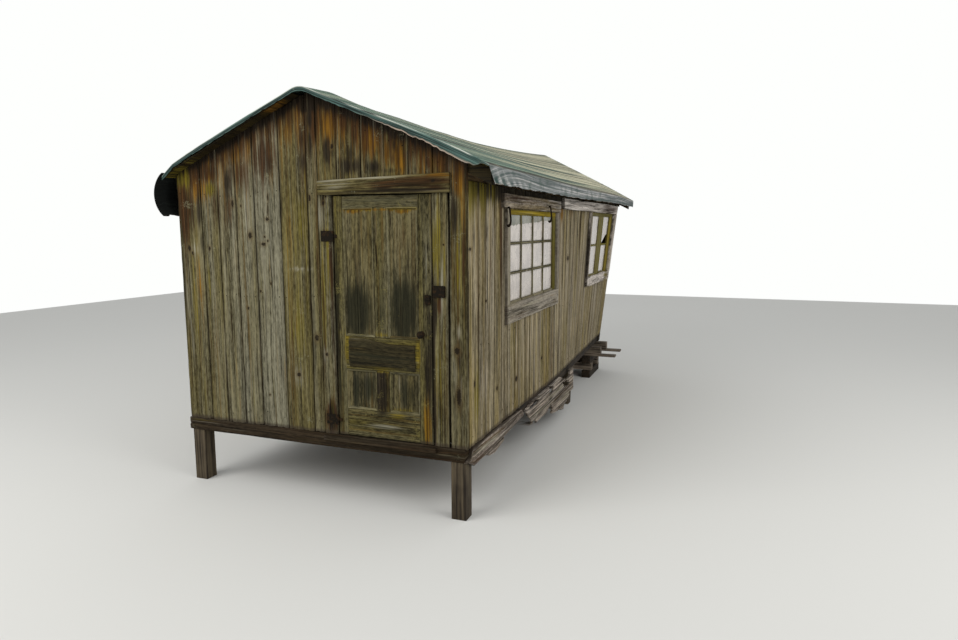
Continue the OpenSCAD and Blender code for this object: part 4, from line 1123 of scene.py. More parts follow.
def buildRoofBoards():
    batch = newBatch(1, {"yellow": [(0.0, 1.86, 0.2, 0.12, 1.2)], "gold": [(-0.06, 2.38, 0.1, 0.03, 0.9)]})
    tilt, inset = math.cos(math.radians(house["pitch"])), roofBoard["inset"]
    near, far = roofEnds[0] + inset, roofEnds[1] - inset
    for side, reach in ((1, roofEdges[1]), (-1, -roofEdges[0])):
        top, eave = roofBoard["top"] / tilt, (reach - inset) / tilt
        count = round((eave - top) / roofBoard["width"])
        for k in range(count):
            span = top + (eave - top) * k / count, top + (eave - top) * (k + 1) / count
            number = 171.3 + 3.7 * k + 40 * side
            tone, warm = 0.3 + 0.5 * (k % 3) / 2, 0.5 + 0.4 * (k % 2)
            addBoard(batch, onRoof(side), span, (near, far), roofBoard["thickness"], number, tone, warm,
                     dropFrom=far, riseFrom=near, column=0.03, ring=0.16, gap=0.004, relief=0.0006, cup=0.001,
                     ragged=0.003)
    finishBatch(batch, "roofBoards", boardMaterial("roofBoards", soffitLook), "inside_timber", "building",
                "roof_boards")


buildRoofing()
buildLips()
buildFlapRight()
buildFlapLeft()
buildRoofBoards()
print("roof built")


# Windows
sashLook = newLook(
    plainLook, greyDark=(70, 68, 48), greyLight=(142, 134, 112), warmDark=(66, 60, 24), warmLight=(110, 102, 46),
    yellow=(140, 120, 30), yellowDark=(98, 84, 22), mould=(84, 84, 62), mouldDark=(62, 62, 46), checks=0.3,
    knots=0.0, lichenAmount=0.1, edge=(138, 132, 108), foot=(74, 66, 40), footReach=0.02, ochreAmount=0.2,
    edgeDirt=0.4)


def addSideBoard(batch, upright, y, z, out, thickness, seed, tone, warm, **changes):
    # a board on the window wall between y and z limits, its face at out beyond the wall boards
    mapping, across, along = (onSide(1), y, z) if upright else (onSideFlat(1), z, y)
    addBoard(batch, mapping, across, along, thickness, seed, tone, warm, offset=out, **changes)


casingStains = {
    "window1": {"black": [(1.6, 0.85, 0.9, 0.004, 0.7)], "brown": [(1.1, 0.8, 0.25, 0.02, 0.4)],
                "pale": [(1.3, 0.87, 0.4, 0.03, 0.6), (0.82, 1.1, 0.03, 0.5, 0.7)]},
    # window2's black line at 3.84 is painted shade along the casing's left edge
    "window2": {"black": [(3.84, 1.2, 0.02, 0.6, 1.1)], "yellow": [(5.1, 1.2, 0.14, 0.5, 0.9)],
                "pale": [(5.38, 1.2, 0.08, 0.5, 0.9)]},
    "frieze": {"brown": [(1.1, 1.76, 0.5, 0.02, 0.6), (4.9, 1.76, 0.5, 0.06, 0.8)],
               "black": [(1.6, 1.676, 1.0, 0.005, 0.8), (2.6, 1.75, 0.012, 0.06, 0.8)],
               "pale": [(3.3, 1.766, 0.8, 0.09, 1.7)]},
}


casing = {
    "stile": 0.08, "thickness": 0.022, "out": 0.0223, "mesh": {"column": 0.008, "ring": 0.02},
    "window1": {"apron": 0.155, "ragged": 0.003, "wider": 0.0, "proud": 0.0, "warm": 0.2, "material": casingMaterial},
    "window2": {"apron": 0.125, "ragged": 0.022, "wider": 0.1, "proud": 0.004, "warm": 0.3,
                "material": raggedMaterial},
    # span, height, out, seed, tone, warmth, place of the split, ragged and wander of each frieze board
    "friezes": [((0.7, 2.51), (nodeBox("window1_casing")[1][2], 1.785), 0.0223, 221.9, 0.55, 0.8, 0.5, 0.01, 0.0025),
                ((2.605, 5.4), (1.7105, 1.822), 0.0263, 227.4, 1.15, 0.05, 0.4, 0.012, 0.005)],
}


def buildCasings():
    thickness, stile, mesh = casing["thickness"], casing["stile"], casing["mesh"]
    for name in windowRise:
        low, high = nodeBox(name + "_casing")
        batch = newBatch(1, casingStains[name])
        size = casing[name]
        ragged, warm, out = size["ragged"], size["warm"], casing["out"] + size["proud"]
        y0, y1, z0, z1 = low[1], high[1], low[2], high[2] + windowRise[name]
        middle, end = z0 + size["apron"], y1 + size["wider"]
        for k, span in enumerate(((y0, y0 + stile), (y1 - stile, end))):
            addSideBoard(batch, True, span, (middle, z1), out, thickness, 201.3 + k + y0, 0.5, warm,
                         splits=[(0.45, 0.35, k == 0)], ragged=ragged, **mesh)
        addSideBoard(batch, False, (y0, end), (z0, middle), out, thickness, 211.3 + y0, 0.7, 0.15,
                     splits=[(0.35, 0.8, False), (0.7, 0.5, True)], ragged=ragged, riseFrom=y0, dropFrom=end,
                     wander=0.002 + ragged * 0.3, gap=0.003, **mesh)
        finishBatch(batch, name + "Casing", size["material"], "casing_boards", "building", name + "_casing")
    batch = newBatch(1, casingStains["frieze"])
    for span, height, out, seed, tone, warm, place, ragged, wander in casing["friezes"]:
        addSideBoard(batch, False, span, height, out, thickness, seed, tone, warm, splits=[(place, 0.5, False)],
                     ragged=ragged, wander=wander, riseFrom=span[0], dropFrom=span[1], **mesh)
    finishBatch(batch, "friezeBoards", raggedMaterial, "casing_boards", "building", "frieze_boards")


def spacedBars(low, high, first, last, panes, bar):
    pane = (high - low - first - last - (panes - 1) * bar) / panes
    spans = [(low, low + first)]
    for k in range(1, panes):
        start = low + first + k * pane + (k - 1) * bar
        spans.append((start, start + bar))
    return spans + [(high - last, high)]


# Bars: first, last, panes, width of a bar; the same for rails. Then tone and warmth of the wood, the heights of the
# grey-green band on the glass at the near and far end, and the pane that is broken
windows = {
    "window1": {"bars": (0.047, 0.103, 4, 0.022), "rails": (0.045, 0.045, 3, 0.022), "left": (0.85, 0.0),
                "right": (0.35, 1.0), "middle": (0.2, 0.15), "foot": (0.8, 0.1), "film": (1.536, 1.596),
                "railInset": 0.004, "broken": None},
    "window2": {"bars": (0.145, 0.18, 2, 0.27), "rails": (0.045, 0.045, 2, 0.024), "left": (0.7, 0.5),
                "right": (0.5, 0.95), "middle": (0.85, 0.75), "foot": (0.8, 0.4), "film": None,
                "railInset": 0.0, "broken": (1, 1)},
}


def buildSash(name, spec):
    start, end, bottom, top = windowHole(name)
    bars = spacedBars(start, end, *spec["bars"])
    rails = spacedBars(bottom, top, *spec["rails"])
    topRail = rails[-1]
    yellow = ((start + end) / 2, top, end - start, 0.04, 1.6) if name == "window1" else (5.1, 1.2, 0.1, 0.5, 0.8)
    batch = newBatch(1, {"yellow": [yellow]})
    small = {"column": 0.006, "ring": 0.03, "ragged": 0.0006, "gap": 0.0006, "wander": 0.0008, "rounding": 0.002}
    for k, span in enumerate(bars):
        outer = k in (0, len(bars) - 1)
        wide = span[1] - span[0] > 0.2
        tone, warm = spec["left"] if k == 0 else spec["right"] if k == len(bars) - 1 else spec["middle"]
        for n, piece in enumerate(pairs(np.linspace(span[0], span[1], 4 if wide else 2))):
            addSideBoard(batch, True, piece, (bottom, topRail[0] - 0.0003),
                         -0.001 if outer else -0.004, 0.022 if outer else 0.016, 241.7 + 2.3 * k + n + start,
                         tone + 0.12 * (n - 1 if wide else 0), warm, **small)
    for (_, left), (right, _) in pairs(bars):
        for k, span in enumerate(rails[:-1]):
            edge = 0.0 if k == 0 else spec["railInset"]
            tone, warm = spec["foot"] if k == 0 else spec["middle"]
            addSideBoard(batch, False, (left, right), (span[0] + edge, span[1] - edge), -0.0015 if k == 0 else -0.006,
                         0.022 if k == 0 else 0.012, 261.1 + 1.9 * k + left, tone, warm, riseFrom=left,
                         dropFrom=right, **small)
    addSideBoard(batch, False, (start, end), topRail, -0.001, 0.022, 271.3 + start, 0.6, 0.9, riseFrom=start,
                 dropFrom=end, splits=[(0.6, 0.3, False)], **small)
    finishBatch(batch, name + "Sash", boardMaterial(name + "Sash", sashLook), "sash_wood", "building",
                name + "_sash")
    return bars, rails


glassLook = newLook(
    {}, hazeDark=(166, 157, 151), hazeLight=(196, 188, 181), streak=(140, 134, 124), grime=(112, 104, 84),
    filmDark=(80, 82, 68), filmLight=(106, 104, 84))


def glassMaterial(name, film):
    # panes painted pale: a haze that is partly a painted reflection of the sky, with a grey-green band below the top
    # rail
    look = glassLook
    material, shader = newMaterial(name, 0.25)
    place, wear = vectorInput("boardPlace", False), vectorInput("boardWear")
    haze = streaks(place, (7, 7, 1), detail=4, rough=0.6)
    base = blendColour(remap(haze, 0.35, 0.65), look["hazeDark"], look["hazeLight"])
    streak = streaks(place, (46, 4, 1), detail=4)
    base = cover(base, look["streak"], remap(streak, 0.5, 0.62), 0.4)
    dirt = timesPlus(streaks(place, (40, 40, 1), detail=4), 0.03, -0.006)
    grime = calc("LESS_THAN", wear[0], dirt)
    base = cover(base, look["grime"], grime, 0.65)
    if film:
        # a grey-green band with a ragged lower edge below the top rail
        torn = times(minus(streaks(place, (14, 2, 1), detail=5, rough=0.7), 0.5), 0.05)
        inFilm = calc("GREATER_THAN", plus(wear[1], torn), 0.0)
        shades = blendColour(remap(streak, 0.4, 0.6), look["filmDark"], look["filmLight"])
        base = blendColour(inFilm, base, shades)
    plug(base, shader.inputs["Base Color"])
    plug(remap(haze, 0.3, 0.7, 0.15, 0.4), shader.inputs["Roughness"])
    bump(shader, streaks(place, (4, 4, 1), detail=2), 0.12, 0.004)
    return material


glassPane = {"face": -0.0135, "thickness": 0.002, "gap": 0.0004, "brokenTop": 0.34}


def buildPanes(name, spec, bars, rails):
    batch = newBatch(1)
    film, face, edge = spec["film"], glassPane["face"], glassPane["gap"]
    u, v = np.meshgrid(np.linspace(0, 1, 9), np.linspace(0, 1, 9))
    for i, (before, after) in enumerate(pairs(bars)):
        for j, (below, over) in enumerate(pairs(rails)):
            y0, y1, z0, z1 = before[1] + edge, after[0] - edge, below[1] + edge, over[0] - edge
            y, z = y0 + (y1 - y0) * u, z0 + (z1 - z0) * v
            if (i, j) == spec["broken"]:
                # the lower part of this pane is broken out
                broken = glassPane["brokenTop"] * np.clip(1.25 * u, 0, 1) ** 1.3
                z = z0 + (z1 - z0) * (broken + (1 - broken) * v)
            outer, inner = (grid(*onSide(1)(y, z, out)) for out in (face, face - glassPane["thickness"]))
            place = grid(y, z, i + 3 * j)
            frameEdge = np.minimum(np.minimum(y - y0, y1 - y), np.minimum(z - z0, z1 - z))
            along = (y - bars[0][1]) / (bars[-1][0] - bars[0][1])
            above = z - (film[0] + (film[1] - film[0]) * along) if film else 0 * z
            addShell(batch, outer, inner, place, grid(frameEdge, above, along))
    finishBatch(batch, name + "Panes", glassMaterial(name + "Panes", film), "window_glass", "building",
                name + "_glass")


def ironMaterial(name, base, rust, amount):
    material, shader = newMaterial(name, 0.8, 0.08)
    place = addNode("ShaderNodeTexCoord").outputs["Object"]
    patch = remap(noise(place, 30.0, detail=5, rough=0.7), 0.62 - amount * 0.3, 0.7 - amount * 0.2)
    plug(blendColour(patch, base, rust), shader.inputs["Base Color"])
    bump(shader, noise(place, 220.0, detail=4, rough=0.7), 0.5, 0.001)
    return material


darkIron = ironMaterial("darkIron", tint(24, 20, 14), tint(46, 33, 19), 0.4)


def ringWork(rings):
    # a closed skin over a row of rings of points
    work = bmesh.new()
    made = [[work.verts.new(point) for point in ring] for ring in rings]
    for first, second in pairs(made):
        for k in range(len(first)):
            n = (k + 1) % len(first)
            work.faces.new((first[k], first[n], second[n], second[k]))
    work.faces.new(made[0][::-1])
    work.faces.new(made[-1])
    return work


def sweep(path, radius, sides=10):
    # a round bar along a path in the building's frame
    forward = np.gradient(path, axis=0)
    forward /= np.linalg.norm(forward, axis=1, keepdims=True)
    up = np.cross(forward, [0.0, 1.0, 0.0])
    up /= np.linalg.norm(up, axis=1, keepdims=True)
    across = np.cross(forward, up)
    turn = np.linspace(0, 2 * math.pi, sides, endpoint=False)
    rings = path[:, None] + radius[:, None, None] * (np.cos(turn)[None, :, None] * up[:, None]
                                                     + np.sin(turn)[None, :, None] * across[:, None])
    return ringWork(rings + houseOrigin)


def finishWork(works, name, material, slotName, body, *replaced, smooth=False):
    whole = bmesh.new()
    for work in works:
        part = bpy.data.meshes.new("part")
        work.to_mesh(part)
        work.free()
        whole.from_mesh(part)
        bpy.data.meshes.remove(part)
    bmesh.ops.recalc_face_normals(whole, faces=whole.faces)
    mesh = bpy.data.meshes.new(name)
    whole.to_mesh(mesh)
    whole.free()
    if smooth:
        mesh.shade_smooth()
    finishPiece(newPiece(name, mesh), material, slotName, body, *replaced)


# A hook's bends: how far it stands off its start, and its height above the drop
hookBends = [
    (0.0, 0.026), (0.006, 0.04), (0.014, 0.036), (0.018, 0.02), (0.02, 0.0), (0.024, -0.03), (0.027, -0.06),
    (0.024, -0.088), (0.014, -0.106), (0.004, -0.104), (0.001, -0.09)]


def buildHooks():
    start = nodeBox("window_hooks")[0][0] + 0.007
    rim = nodeBox("window1_casing")[1][2]
    corners = np.linspace(0, 1, len(hookBends))
    share = np.linspace(0, 1, 41)
    off, height = (np.convolve(np.pad(np.interp(share, corners, side), 3, "edge"), np.ones(7) / 7, "valid")
                   for side in np.array(hookBends).T)
    radius = 0.0075 + 0.0035 * np.clip(share - 0.6, 0, 0.3) / 0.3
    works = [sweep(grid(start + off, y, rim - drop + height), radius) for y, drop in ((0.76, 0.03), (1.99, -0.012))]
    finishWork(works, "windowHooks", darkIron, "iron", "building", "window_hooks", smooth=True)


buildCasings()
for name, spec in windows.items():
    bars, rails = buildSash(name, spec)
    buildPanes(name, spec, bars, rails)
buildHooks()
print("windows built")


# Door
doorLook = newLook(
    plainLook, greyDark=(34, 32, 21), greyLight=(110, 104, 78), warmDark=(36, 31, 15), warmLight=(104, 95, 50),
    yellow=(124, 108, 38), yellowDark=(84, 74, 30), gold=(116, 86, 24), goldDark=(74, 52, 18), mould=(42, 42, 30),
    mouldDark=(20, 21, 16), checks=0.4, knots=0.0, lichen=(114, 106, 62), lichenAmount=0.3, edge=(132, 126, 98),
    footReach=0.04, broad=1.0, streaks=2.2, grainy=2.2, tear=2.2, edgeDirt=0.7)
panelLook = newLook(
    doorLook, greyDark=(40, 37, 25), greyLight=(118, 110, 82), warmDark=(40, 35, 19), warmLight=(104, 94, 56),
    footReach=0.01, lichenAmount=0.15)
mouldLook = newLook(doorLook, greyDark=(56, 52, 36), greyLight=(140, 134, 108), edgeDirt=0.2, stainAmount=0.6)
patchLook = newLook(
    doorLook, greyDark=(24, 23, 17), greyLight=(66, 61, 44), warmDark=(28, 24, 15), warmLight=(62, 54, 32),
    ochreAmount=0.0, lichenAmount=0.2, edge=(104, 96, 72))
doorStains = {
    "gold": [(0.911, 0.14, 0.03, 0.16, 1.0), (0.57, 1.648, 0.26, 0.008, 0.8)],
    # black: the long thin lines at 0.954 and 0.19 are painted shadow in the gaps at the door's edges; the others are
    # stains
    "black": [
        (0.94, 0.66, 0.024, 0.4, 1.0), (0.954, 0.55, 0.008, 0.7, 1.5), (0.92, 1.02, 0.03, 0.05, 0.8),
        (0.915, 0.5, 0.03, 0.2, 0.8), (0.19, 0.9, 0.008, 0.9, 0.8), (0.547, 0.36, 0.055, 0.17, 1.25)],
    "yellow": [
        (0.271, 0.68, 0.02, 0.12, 1.0), (0.286, 0.78, 0.02, 0.03, 1.0), (0.846, 0.64, 0.018, 0.1, 1.1),
        (0.558, 0.77, 0.3, 0.014, 0.7), (0.556, 0.512, 0.08, 0.016, 0.8), (0.678, 0.185, 0.07, 0.02, 0.8),
        (0.53, 1.2, 0.02, 0.3, 0.4)],
    "mould": [
        (0.205, 0.9, 0.02, 0.9, 0.85), (0.25, 0.3, 0.03, 0.3, 0.5), (0.55, 0.9, 0.05, 0.16, 0.5),
        (0.55, 0.08, 0.3, 0.03, 0.6), (0.3, 0.5, 0.1, 0.012, 0.6), (0.56, 1.7, 0.4, 0.05, 0.5)],
    "pale": [(0.54, 1.5, 0.02, 0.14, 0.5), (0.557, 0.1, 0.14, 0.02, 0.7), (0.914, 1.35, 0.02, 0.2, 0.4)],
}
panelStains = {
    "mould": [
        (0.36, 0.92, 0.11, 0.22, 1.3), (0.738, 0.95, 0.11, 0.24, 1.15), (0.374, 1.15, 0.03, 0.2, 0.6),
        (0.66, 1.15, 0.03, 0.2, 0.55), (0.33, 0.34, 0.05, 0.16, 0.8), (0.45, 0.38, 0.05, 0.12, 0.9),
        (0.755, 0.35, 0.09, 0.15, 0.85), (0.5, 0.5, 0.4, 0.014, 0.8), (0.38, 0.36, 0.12, 0.16, 0.6)],
    "gold": [(0.35, 1.642, 0.06, 0.014, 1.1), (0.73, 1.638, 0.06, 0.016, 1.1), (0.57, 1.65, 0.3, 0.01, 0.9)],
    "yellow": [(0.57, 1.652, 0.32, 0.01, 0.8), (0.7, 0.23, 0.1, 0.014, 0.6)],
    "pale": [(0.42, 0.38, 0.01, 0.12, 0.9), (0.68, 0.42, 0.014, 0.08, 0.5)],
    "brown": [(0.73, 1.45, 0.08, 0.14, 0.4), (0.36, 1.3, 0.03, 0.2, 0.4)],
}
doorMap = {
    "stileLeft": 0.076, "stileRight": 0.104, "mullion": (0.318, 0.424), "lowMullion": (0.322, 0.428),
    "bottomRail": 0.205, "lowPanel": 0.294, "lockRail": 0.245, "topRail": 0.084, "thickness": 0.036,
    "panelDepth": 0.012, "face": 0.003,
}


# A moulding's profile: how far in from the opening's edge, and how far below the door's face
moulding = {"inset": [0.0, 0.003, 0.0055, 0.0075, 0.0105, 0.013, 0.0155],
            "depth": [0.0008, 0.0004, 0.0012, 0.0035, 0.0038, 0.0072, 0.0112],
            "back": 0.0116, "arris": 0.0075, "column": 0.012}


def addMoulding(batch, x0, x1, z0, z1, face, seed):
    # a mitred moulding round a panel opening, in four lengths
    for k in range(4):
        level = k < 2
        count = int(((x1 - x0) if level else (z1 - z0)) / moulding["column"])
        step, n = np.meshgrid(np.linspace(0, 1, count), moulding["inset"])
        deep = np.array(moulding["depth"])[:, None] + 0.0006 * softNoise(step * count * 0.4, seed + k)
        if level:
            x, z = x0 + n + step * (x1 - x0 - 2 * n), (z0 + n) if k == 0 else (z1 - n)
        else:
            z, x = z0 + n + step * (z1 - z0 - 2 * n), (x0 + n) if k == 2 else (x1 - n)
        outer = grid(x, -face + deep, z)
        inner = grid(x, -face + moulding["back"], z)
        along = x if level else z
        place = grid(n * 1.3 + seed, along, 1.7 * seed + k)
        # the arris catches the wear
        wear = grid(np.exp(-np.abs(n - moulding["arris"]) / 0.0025), 1, 1)
        # the right length is set darker: painted shade on the slope that faces away from the light
        addShell(batch, outer, inner, place, wear, [0.62 if k != 3 else 0.3, 0.4, 0.0])


def buildDoor():
    (left, _, foot), (right, _, head) = nodeBox("door_frame")
    spec = doorMap
    face = -spec["face"]
    lockLow = foot + spec["bottomRail"] + spec["lowPanel"]
    lockHigh = lockLow + spec["lockRail"]
    railTop = head - spec["topRail"]
    batch = newBatch(0, doorStains)
    small = {"column": 0.007, "ring": 0.015, "gap": 0.0014, "ragged": 0.001, "wander": 0.0006, "rounding": 0.0025,
             "edgeReach": 0.003}

    def stile(x0, x1, z0, z1, seed, tone, warm, **changes):
        addBoard(batch, onFront, (x0, x1), (z0, z1), spec["thickness"], seed, tone, warm, offset=face,
                 dropFrom=head, riseFrom=foot, **small, **changes)

    def rail(x0, x1, z0, z1, seed, tone, warm, **changes):
        addBoard(batch, onFrontFlat, (z0, z1), (x0, x1), spec["thickness"], seed, tone, warm, offset=face,
                 dropFrom=x1, riseFrom=x0 - 0.1, **small, **changes)
    inLeft, inRight = left + spec["stileLeft"], right - spec["stileRight"]
    stile(left, inLeft, foot, head, 301.3, 0.5, 0.5)
    stile(inRight, right, foot, head, 303.9, 0.5, 0.6, splits=[(0.5, 0.9, False)])
    rail(inLeft, inRight, foot, foot + spec["bottomRail"], 307.1, 0.4, 0.4, splits=[(0.6, 0.3, False)])
    rail(inLeft, inRight, lockLow, lockHigh, 309.7, 0.55, 0.9)
    rail(inLeft, inRight, railTop, head, 311.9, 0.6, 0.3)
    railLow = foot + spec["bottomRail"]
    stile(left + spec["mullion"][0], left + spec["mullion"][1], lockHigh, railTop, 313.3, 0.5, 0.3)
    stile(left + spec["lowMullion"][0], left + spec["lowMullion"][1], railLow, lockLow, 315.7, 0.2, 0.4)
    finishBatch(batch, "doorFrame", boardMaterial("doorFrame", doorLook), "door_wood", "door", "door_frame")
    # four sunk panels, each held by a moulding
    batch, trims = newBatch(0, panelStains), newBatch(0, panelStains)
    lights = []
    for pair, z0, z1 in ((spec["lowMullion"], railLow, lockLow), (spec["mullion"], lockHigh, railTop)):
        lights += [(inLeft, left + pair[0], z0, z1), (left + pair[1], inRight, z0, z1)]
    for k, (x0, x1, z0, z1) in enumerate(lights):
        lower = k < 2
        addBoard(batch, onFront, (x0 + 0.0005, x1 - 0.0005), (z0 + 0.0005, z1 - 0.0005), 0.012, 331.7 + k,
                 0.35 if lower else 0.62, 0.3, offset=face - spec["panelDepth"], column=0.007, ring=0.015,
                 gap=0.001, ragged=0.0005, dropFrom=z1, riseFrom=z0 - 0.1, edgeReach=0.004,
                 splits=[(0.55, 0.25, False), (0.7, 0.3, False)] if lower else [(0.4, 0.5, False)])
        addMoulding(trims, x0, x1, z0, z1, face, 341.3 + k)
    finishBatch(batch, "doorPanels", boardMaterial("doorPanels", panelLook), "door_wood", "door", "door_panels")
    finishBatch(trims, "doorMouldings", boardMaterial("doorMouldings", mouldLook), "door_wood", "door")


def boxWork(low, high, bevel=0.0):
    work = bmesh.new()
    bmesh.ops.create_cube(work, size=1.0)
    low, high = np.array(low) + houseOrigin, np.array(high) + houseOrigin
    for vert in work.verts:
        vert.co = Vector([low[k] if vert.co[k] < 0 else high[k] for k in range(3)])
    if bevel:
        bmesh.ops.bevel(work, geom=work.edges[:], offset=bevel, segments=2, affect="EDGES")
    return work


def turnedWork(centre, axis, radii, sides=20):
    # radii are pairs of distance along the axis and radius
    turn = Vector(axis).to_track_quat("Z", "Y").to_matrix()
    centre = Vector(np.array(centre) + houseOrigin)
    angles = [2 * math.pi * k / sides for k in range(sides)]
    return ringWork([[centre + turn @ Vector((radius * math.cos(angle), radius * math.sin(angle), distance))
                      for angle in angles] for distance, radius in radii])


patchBoard = {
    "left": 0.107, "length": 0.528, "foot": 0.522, "head": 0.736, "slant": 0.03, "thickness": 0.011,
    "stains": {"mould": [(0.5, 0.6, 0.3, 0.05, 0.5)], "yellow": [(0.6, 0.528, 0.2, 0.01, 0.6)],
               "pale": [(0.36, 0.73, 0.06, 0.006, 0.6)]},
}


def buildPatch():
    # a board nailed over the lock rail, its upper edge sawn at a slant
    batch = newBatch(0, patchBoard["stains"])
    x0, z0, z1 = nodeBox("door_frame")[0][0] + patchBoard["left"], patchBoard["foot"], patchBoard["head"]
    x1 = x0 + patchBoard["length"]

    def slanted(a, b, out):
        top = z1 - patchBoard["slant"] * np.clip((b - x0 - 0.12) / 0.2, 0, 1)
        return b, -out, z0 + (a - z0) / (z1 - z0) * (top - z0)
    addBoard(batch, slanted, (z0, z1), (x0, x1), patchBoard["thickness"], 351.3, 0.45, 0.4, offset=0.0085, column=0.007,
             ring=0.015, gap=0.0, ragged=0.008, wander=0.003, riseFrom=x0 - 0.1, dropFrom=x1, edgeReach=0.004,
             splits=[(0.6, 0.2, False)])
    finishBatch(batch, "doorPatch", boardMaterial("doorPatch", patchLook), "door_wood", "door")


# Turned forms are pairs of distance along the axis and radius; screws are places on the leaf
irons = {
    "knobPlace": (0.08, 0.79),   # from the door's right edge, and its height
    "knob": [(-0.004, 0.024), (0.002, 0.024), (0.004, 0.021), (0.005, 0.009), (0.014, 0.008), (0.017, 0.013),
             (0.021, 0.022), (0.027, 0.0255), (0.033, 0.0225), (0.037, 0.014), (0.0385, 0.004)],
    "hingeHeights": (0.115, 1.465), "hinge": 0.076, "pin": (0.003, 0.007), "pinGap": 0.0003,
    "screw": [(0, 0.0045), (0.0012, 0.0042), (0.002, 0.002)],
    "screws": [(-0.035, 0.018), (-0.07, 0.018), (-0.035, 0.058), (-0.07, 0.058), (-0.052, 0.038)],
}


def buildDoorFittings():
    (left, _, _), (right, _, _) = nodeBox("door_frame")
    fromRight, knobHeight = irons["knobPlace"]
    works = [turnedWork((right - fromRight, -0.003, knobHeight), (0, -1, 0), irons["knob"]),
             boxWork((right - 0.05, -0.011, 1.0), (right - 0.008, 0.0, 1.066), 0.0025),
             boxWork((right - 0.048, -0.0155, 1.03), (right - 0.01, -0.0105, 1.052), 0.002)]
    fixed = []
    hingeX, hingeY, height, gap = left - irons["pin"][0], -irons["pin"][1], irons["hinge"], irons["pinGap"]
    third = height / 3
    barrel = [(0, 0.006), (0.0008, 0.0065), (third - 0.0011, 0.0065), (third - gap, 0.006)]
    for z in irons["hingeHeights"]:
        base = z - height / 2
        for start in (base, base + 2 * third + gap):
            fixed.append(turnedWork((hingeX, hingeY, start), (0, 0, 1), barrel))
        fixed.append(boxWork((left - 0.105, -0.004, base), (hingeX - 0.0075, 0.0, base + height), 0.001))
        for dx, dz in irons["screws"]:
            fixed.append(turnedWork((hingeX + dx, -0.0035, base + dz), (0, -1, 0), irons["screw"], 12))
        works.append(turnedWork((hingeX, hingeY, base + third + gap), (0, 0, 1), barrel))
        works.append(boxWork((hingeX + 0.005, -0.0035, base + third + 0.0005),
                             (hingeX + 0.03, 0.0025, base + 2 * third - 0.0005), 0.001))
    finishWork(works, "doorFittings", darkIron, "iron", "door", "door_hardware")
    keeper = nodeBox("door_irons")[1]
    fixed.append(boxWork((keeper[0] - 0.088, -0.018, 1.052), (keeper[0], 0.0, 1.132), 0.003))
    finishWork(fixed, "doorIrons", darkIron, "iron", "building", "door_irons")


buildDoor()
buildPatch()
buildDoorFittings()
print("door built")


# Base timbers
darkTimberLook = newLook(
    plainLook, greyDark=(24, 20, 15), greyLight=(66, 58, 46), warmDark=(26, 20, 14), warmLight=(60, 48, 34),
    lichenAmount=0.15, edge=(70, 62, 50), checks=0.8, ochre=(50, 36, 22))
darkTimber = boardMaterial("darkTimber", darkTimberLook)


def addBeam(batch, low, high, seed, tone, warm, **changes):
    # a squared timber across the front
    shape = {"column": 0.012, "ring": 0.03, "gap": 0.0, "ragged": 0.006, "rounding": 0.006, "wander": 0.002, **changes}
    addBoard(batch, onFrontFlat, (low[2], high[2]), (low[0], high[0]), high[1] - low[1], seed, tone, warm,
             offset=-low[1], dropFrom=high[0], riseFrom=low[0], **shape)


def addPlank(batch, face, lower, upper, thickness, seed, tone, warm, **changes):
    # a plank along the window side whose two edges follow given lines of places and heights
    lower, upper = np.array(lower), np.array(upper)

    def mapping(a, b, out):
        foot, top = np.interp(b, lower[:, 0], lower[:, 1]), np.interp(b, upper[:, 0], upper[:, 1])
        return face + out, b, foot + a / taperSpan * (top - foot)
    addBoard(batch, mapping, (0.0, taperSpan), (upper[0, 0], upper[-1, 0]), thickness, seed, tone, warm,
             dropFrom=upper[-1, 0], riseFrom=upper[0, 0] - 0.2, **changes)


def crossings(outline, height):
    # where a level line enters and leaves a closed outline
    found = []
    for (y0, z0), (y1, z1) in zip(outline, outline[1:] + outline[:1]):
        if (z0 - height) * (z1 - height) < 0:
            found.append(y0 + (y1 - y0) * (height - z0) / (z1 - z0))
    found.sort()
    return list(zip(found[::2], found[1::2]))


# A plank rotted to strands: its outline and the holes through it, as places along the wall and heights
rottenOutline = [
    (1.36, -0.08), (1.53, -0.211), (1.585, -0.262), (1.656, -0.23), (1.732, -0.288), (1.826, -0.272),
    (2.107, -0.293), (2.253, -0.242), (2.321, -0.293), (2.28, -0.35), (2.602, -0.388), (2.826, -0.438),
    (2.848, -0.391), (3.081, -0.362), (3.104, -0.305), (3.299, -0.312), (3.283, -0.06), (3.14, -0.006),
    (2.606, -0.006), (2.244, -0.006), (1.976, -0.012), (1.67, -0.03)]
rottenHoles = [[(1.475, -0.08), (1.671, -0.06), (1.79, -0.07), (1.76, -0.12), (1.6, -0.12)],
               [(2.2, -0.05), (2.32, -0.06), (2.34, -0.13), (2.24, -0.12)],
               [(2.605, -0.01), (2.825, -0.02), (3.06, -0.035), (3.1, -0.125), (2.933, -0.12), (2.703, -0.06)],
               [(2.76, -0.13), (3.013, -0.15), (3.05, -0.215), (2.85, -0.19)]]

rottenStains = {
    "black": [(1.62, -0.14, 0.16, 0.02, 0.8), (2.24, -0.15, 0.08, 0.05, 0.8), (2.85, -0.1, 0.25, 0.04, 0.7),
              (2.4, -0.26, 0.3, 0.02, 0.6)],
    "pale": [(2.5, -0.16, 0.4, 0.02, 0.8), (2.9, -0.3, 0.3, 0.03, 0.7), (1.9, -0.2, 0.3, 0.02, 0.7)],
}


rottenPlank = {"face": 1.2275, "foot": -0.438, "strand": 0.0115, "strands": 34, "thickness": 0.018}


